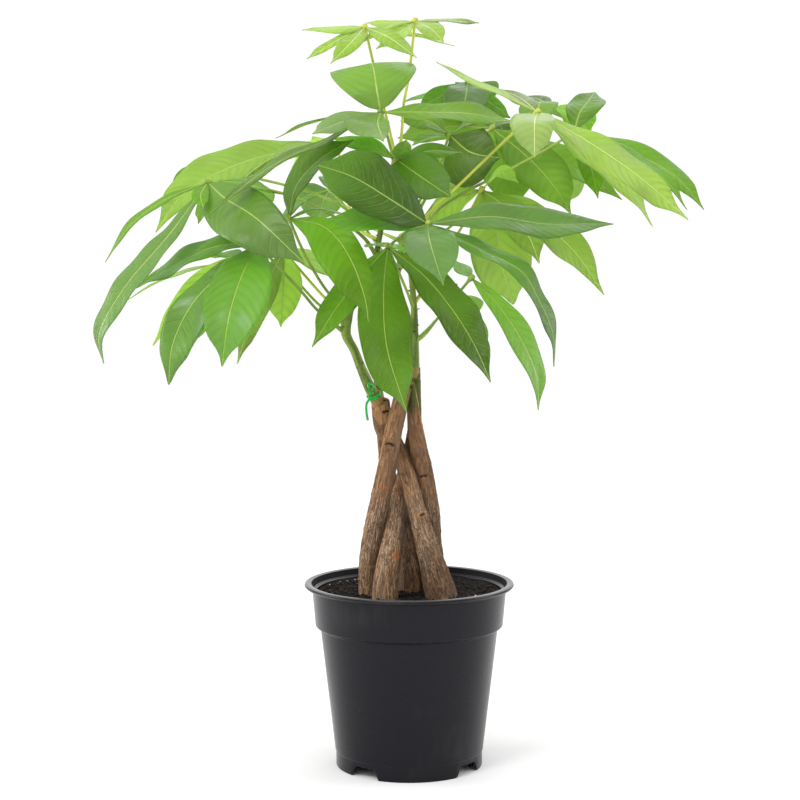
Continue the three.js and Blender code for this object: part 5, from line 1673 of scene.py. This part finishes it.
class MONEYTREE_OT_stage(bpy.types.Operator):
    """Set up the pale floor, the studio light and the camera"""

    bl_idname = "moneytree.stage"
    bl_label = "Stage"

    def execute(self, context):
        look = context.scene.moneytree_stage
        mesh = bmesh.new()
        bmesh.ops.create_circle(mesh, cap_ends=True, radius=9, segments=96)
        data = bpy.data.meshes.new("floor")
        mesh.to_mesh(data)
        mesh.free()
        floor = bpy.data.objects.new("floor", data)
        context.collection.objects.link(floor)
        data.materials.append(floor_finish("floor_matt", tuple(look.floor)))
        world = bpy.data.worlds.new("surround")
        context.scene.world = world
        world.use_nodes = True
        background = world.node_tree.nodes["Background"]
        background.inputs["Color"].default_value = (1, 1, 1, 1)
        background.inputs["Strength"].default_value = look.surround
        for name, place, height, size, share in LAMPS:
            add_lamp(name, place, (0, 0, height), size, look.key * share)
        view = bpy.data.cameras.new("camera")
        view.sensor_width = 36
        view.lens = look.lens
        camera = bpy.data.objects.new("camera", view)
        context.collection.objects.link(camera)
        view.shift_x = EYE_SHIFT
        camera.location = (0, -EYE_DISTANCE * METRE, EYE_HEIGHT * METRE)
        camera.rotation_euler = (math.radians(90 - EYE_DROP), 0, 0)
        context.scene.camera = camera
        context.scene.view_settings.view_transform = "Standard"
        return {"FINISHED"}


class MONEYTREE_OT_pot(bpy.types.Operator):
    """Build the pot"""

    bl_idname = "moneytree.pot"
    bl_label = "Pot"

    def execute(self, context):
        look = context.scene.moneytree_pot
        build_pot(look, pot_finish("pot_plastic", look))
        return {"FINISHED"}


class MONEYTREE_OT_soil(bpy.types.Operator):
    """Build the soil and the loose bits on it"""

    bl_idname = "moneytree.soil"
    bl_label = "Soil"

    def execute(self, context):
        look = context.scene.moneytree_soil
        build_soil(soil_finish("soil_peat", look))
        peat = grain_finish("soil_crumb", tint(44, 34, 30), tint(16, 13, 12), rough=0.85, scale=900.0)
        rust = grain_finish("soil_bark_bit", tint(98, 54, 34), tint(44, 26, 20), rough=0.75, scale=700.0)
        straw = grain_finish("soil_straw", tint(128, 98, 62), tint(64, 46, 32), rough=0.75, scale=700.0)
        white = grain_finish("soil_perlite", tint(232, 230, 224), tint(170, 166, 158), rough=0.8, scale=800.0)
        scatter("soil_crumbs", look.crumbs, [peat], size=1.5, seed=11)
        scatter("soil_fibres", look.fibres, [rust, rust, straw], size=0.42, seed=12, stretch=7.0)
        scatter("soil_grit", look.fibres // 2, [rust, peat], size=0.9, seed=13, stretch=1.6)
        scatter("perlite_grains", look.grains, [white], size=0.85, seed=14, spots=PERLITE)
        return {"FINISHED"}


class MONEYTREE_OT_trunks(bpy.types.Operator):
    """Build the five braided trunks"""

    bl_idname = "moneytree.trunks"
    bl_label = "Trunks"

    def execute(self, context):
        look = context.scene.moneytree_bark
        bark = bark_finish("trunk_bark", look)
        for name in TRUNKS:
            build_trunk(name, look, bark)
        return {"FINISHED"}


class MONEYTREE_OT_shoots(bpy.types.Operator):
    """Build the green shoots"""

    bl_idname = "moneytree.shoots"
    bl_label = "Shoots"

    def execute(self, context):
        skin = stalk_finish("shoot_skin", tint(134, 152, 66), tint(78, 98, 34))
        for name in SHOOTS:
            build_shoot(name, skin)
        return {"FINISHED"}


class MONEYTREE_OT_tie(bpy.types.Operator):
    """Build the ribbon tie"""

    bl_idname = "moneytree.tie"
    bl_label = "Tie"

    def execute(self, context):
        look = context.scene.moneytree_tie
        build_tie(ribbon_finish("tie_plastic", look))
        return {"FINISHED"}


class MONEYTREE_OT_leaves(bpy.types.Operator):
    """Build the leaves"""

    bl_idname = "moneytree.leaves"
    bl_label = "Leaves"

    def execute(self, context):
        look = context.scene.moneytree_leaf
        green = stalk_finish("leaf_stalk", tint(162, 184, 84), tint(116, 146, 52))
        yellow = stalk_finish("young_stalk", tint(206, 208, 92), tint(176, 186, 70))
        finishes = {}
        for tone in TONES:
            stalk = yellow if tone in ("young", "light") else green
            upper = leaf_finish("leaf_" + tone + "_upper", tone, True, look)
            under = leaf_finish("leaf_" + tone + "_under", tone, False, look)
            finishes[tone] = [upper, under, stalk, rib_finish("leaf_" + tone + "_rib", tone)]
        for name, (tone, _, _) in LEAVES.items():
            build_leaf(name, look, finishes[tone])
        return {"FINISHED"}


class MONEYTREE_PT_panel(bpy.types.Panel):
    """Lists the pieces of the money tree"""

    bl_idname = "MONEYTREE_PT_panel"
    bl_label = "Potted money tree"
    bl_space_type = "VIEW_3D"
    bl_region_type = "UI"
    bl_category = "Money tree"

    def draw(self, context):
        for operator, group in PIECES:
            box = self.layout.box()
            box.operator(operator.bl_idname)
            if group:
                settings = getattr(context.scene, group)
                for name in settings.bl_rna.properties.keys():
                    if name not in {"rna_type", "name"}:
                        box.prop(settings, name)


GROUPS = {
    "moneytree_stage": StageLook,
    "moneytree_pot": PotLook,
    "moneytree_soil": SoilLook,
    "moneytree_bark": BarkLook,
    "moneytree_tie": TieLook,
    "moneytree_leaf": LeafLook,
}

PIECES = [
    (MONEYTREE_OT_stage, "moneytree_stage"),
    (MONEYTREE_OT_pot, "moneytree_pot"),
    (MONEYTREE_OT_soil, "moneytree_soil"),
    (MONEYTREE_OT_trunks, "moneytree_bark"),
    (MONEYTREE_OT_shoots, ""),
    (MONEYTREE_OT_tie, "moneytree_tie"),
    (MONEYTREE_OT_leaves, "moneytree_leaf"),
]


def register():
    """Makes the settings, operators and panel known."""
    for name, group in GROUPS.items():
        bpy.utils.register_class(group)
        setattr(bpy.types.Scene, name, bpy.props.PointerProperty(type=group))
    for operator, _ in PIECES:
        bpy.utils.register_class(operator)
    bpy.utils.register_class(MONEYTREE_PT_panel)


def unregister():
    """Takes the settings, operators and panel away again."""
    bpy.utils.unregister_class(MONEYTREE_PT_panel)
    for operator, _ in reversed(PIECES):
        bpy.utils.unregister_class(operator)
    for name, group in GROUPS.items():
        delattr(bpy.types.Scene, name)
        bpy.utils.unregister_class(group)


def main():
    """Builds every piece in turn."""
    register()
    bpy.ops.moneytree.stage()
    bpy.ops.moneytree.pot()
    bpy.ops.moneytree.soil()
    bpy.ops.moneytree.trunks()
    bpy.ops.moneytree.shoots()
    bpy.ops.moneytree.tie()
    bpy.ops.moneytree.leaves()


if __name__ == "__main__":
    main()
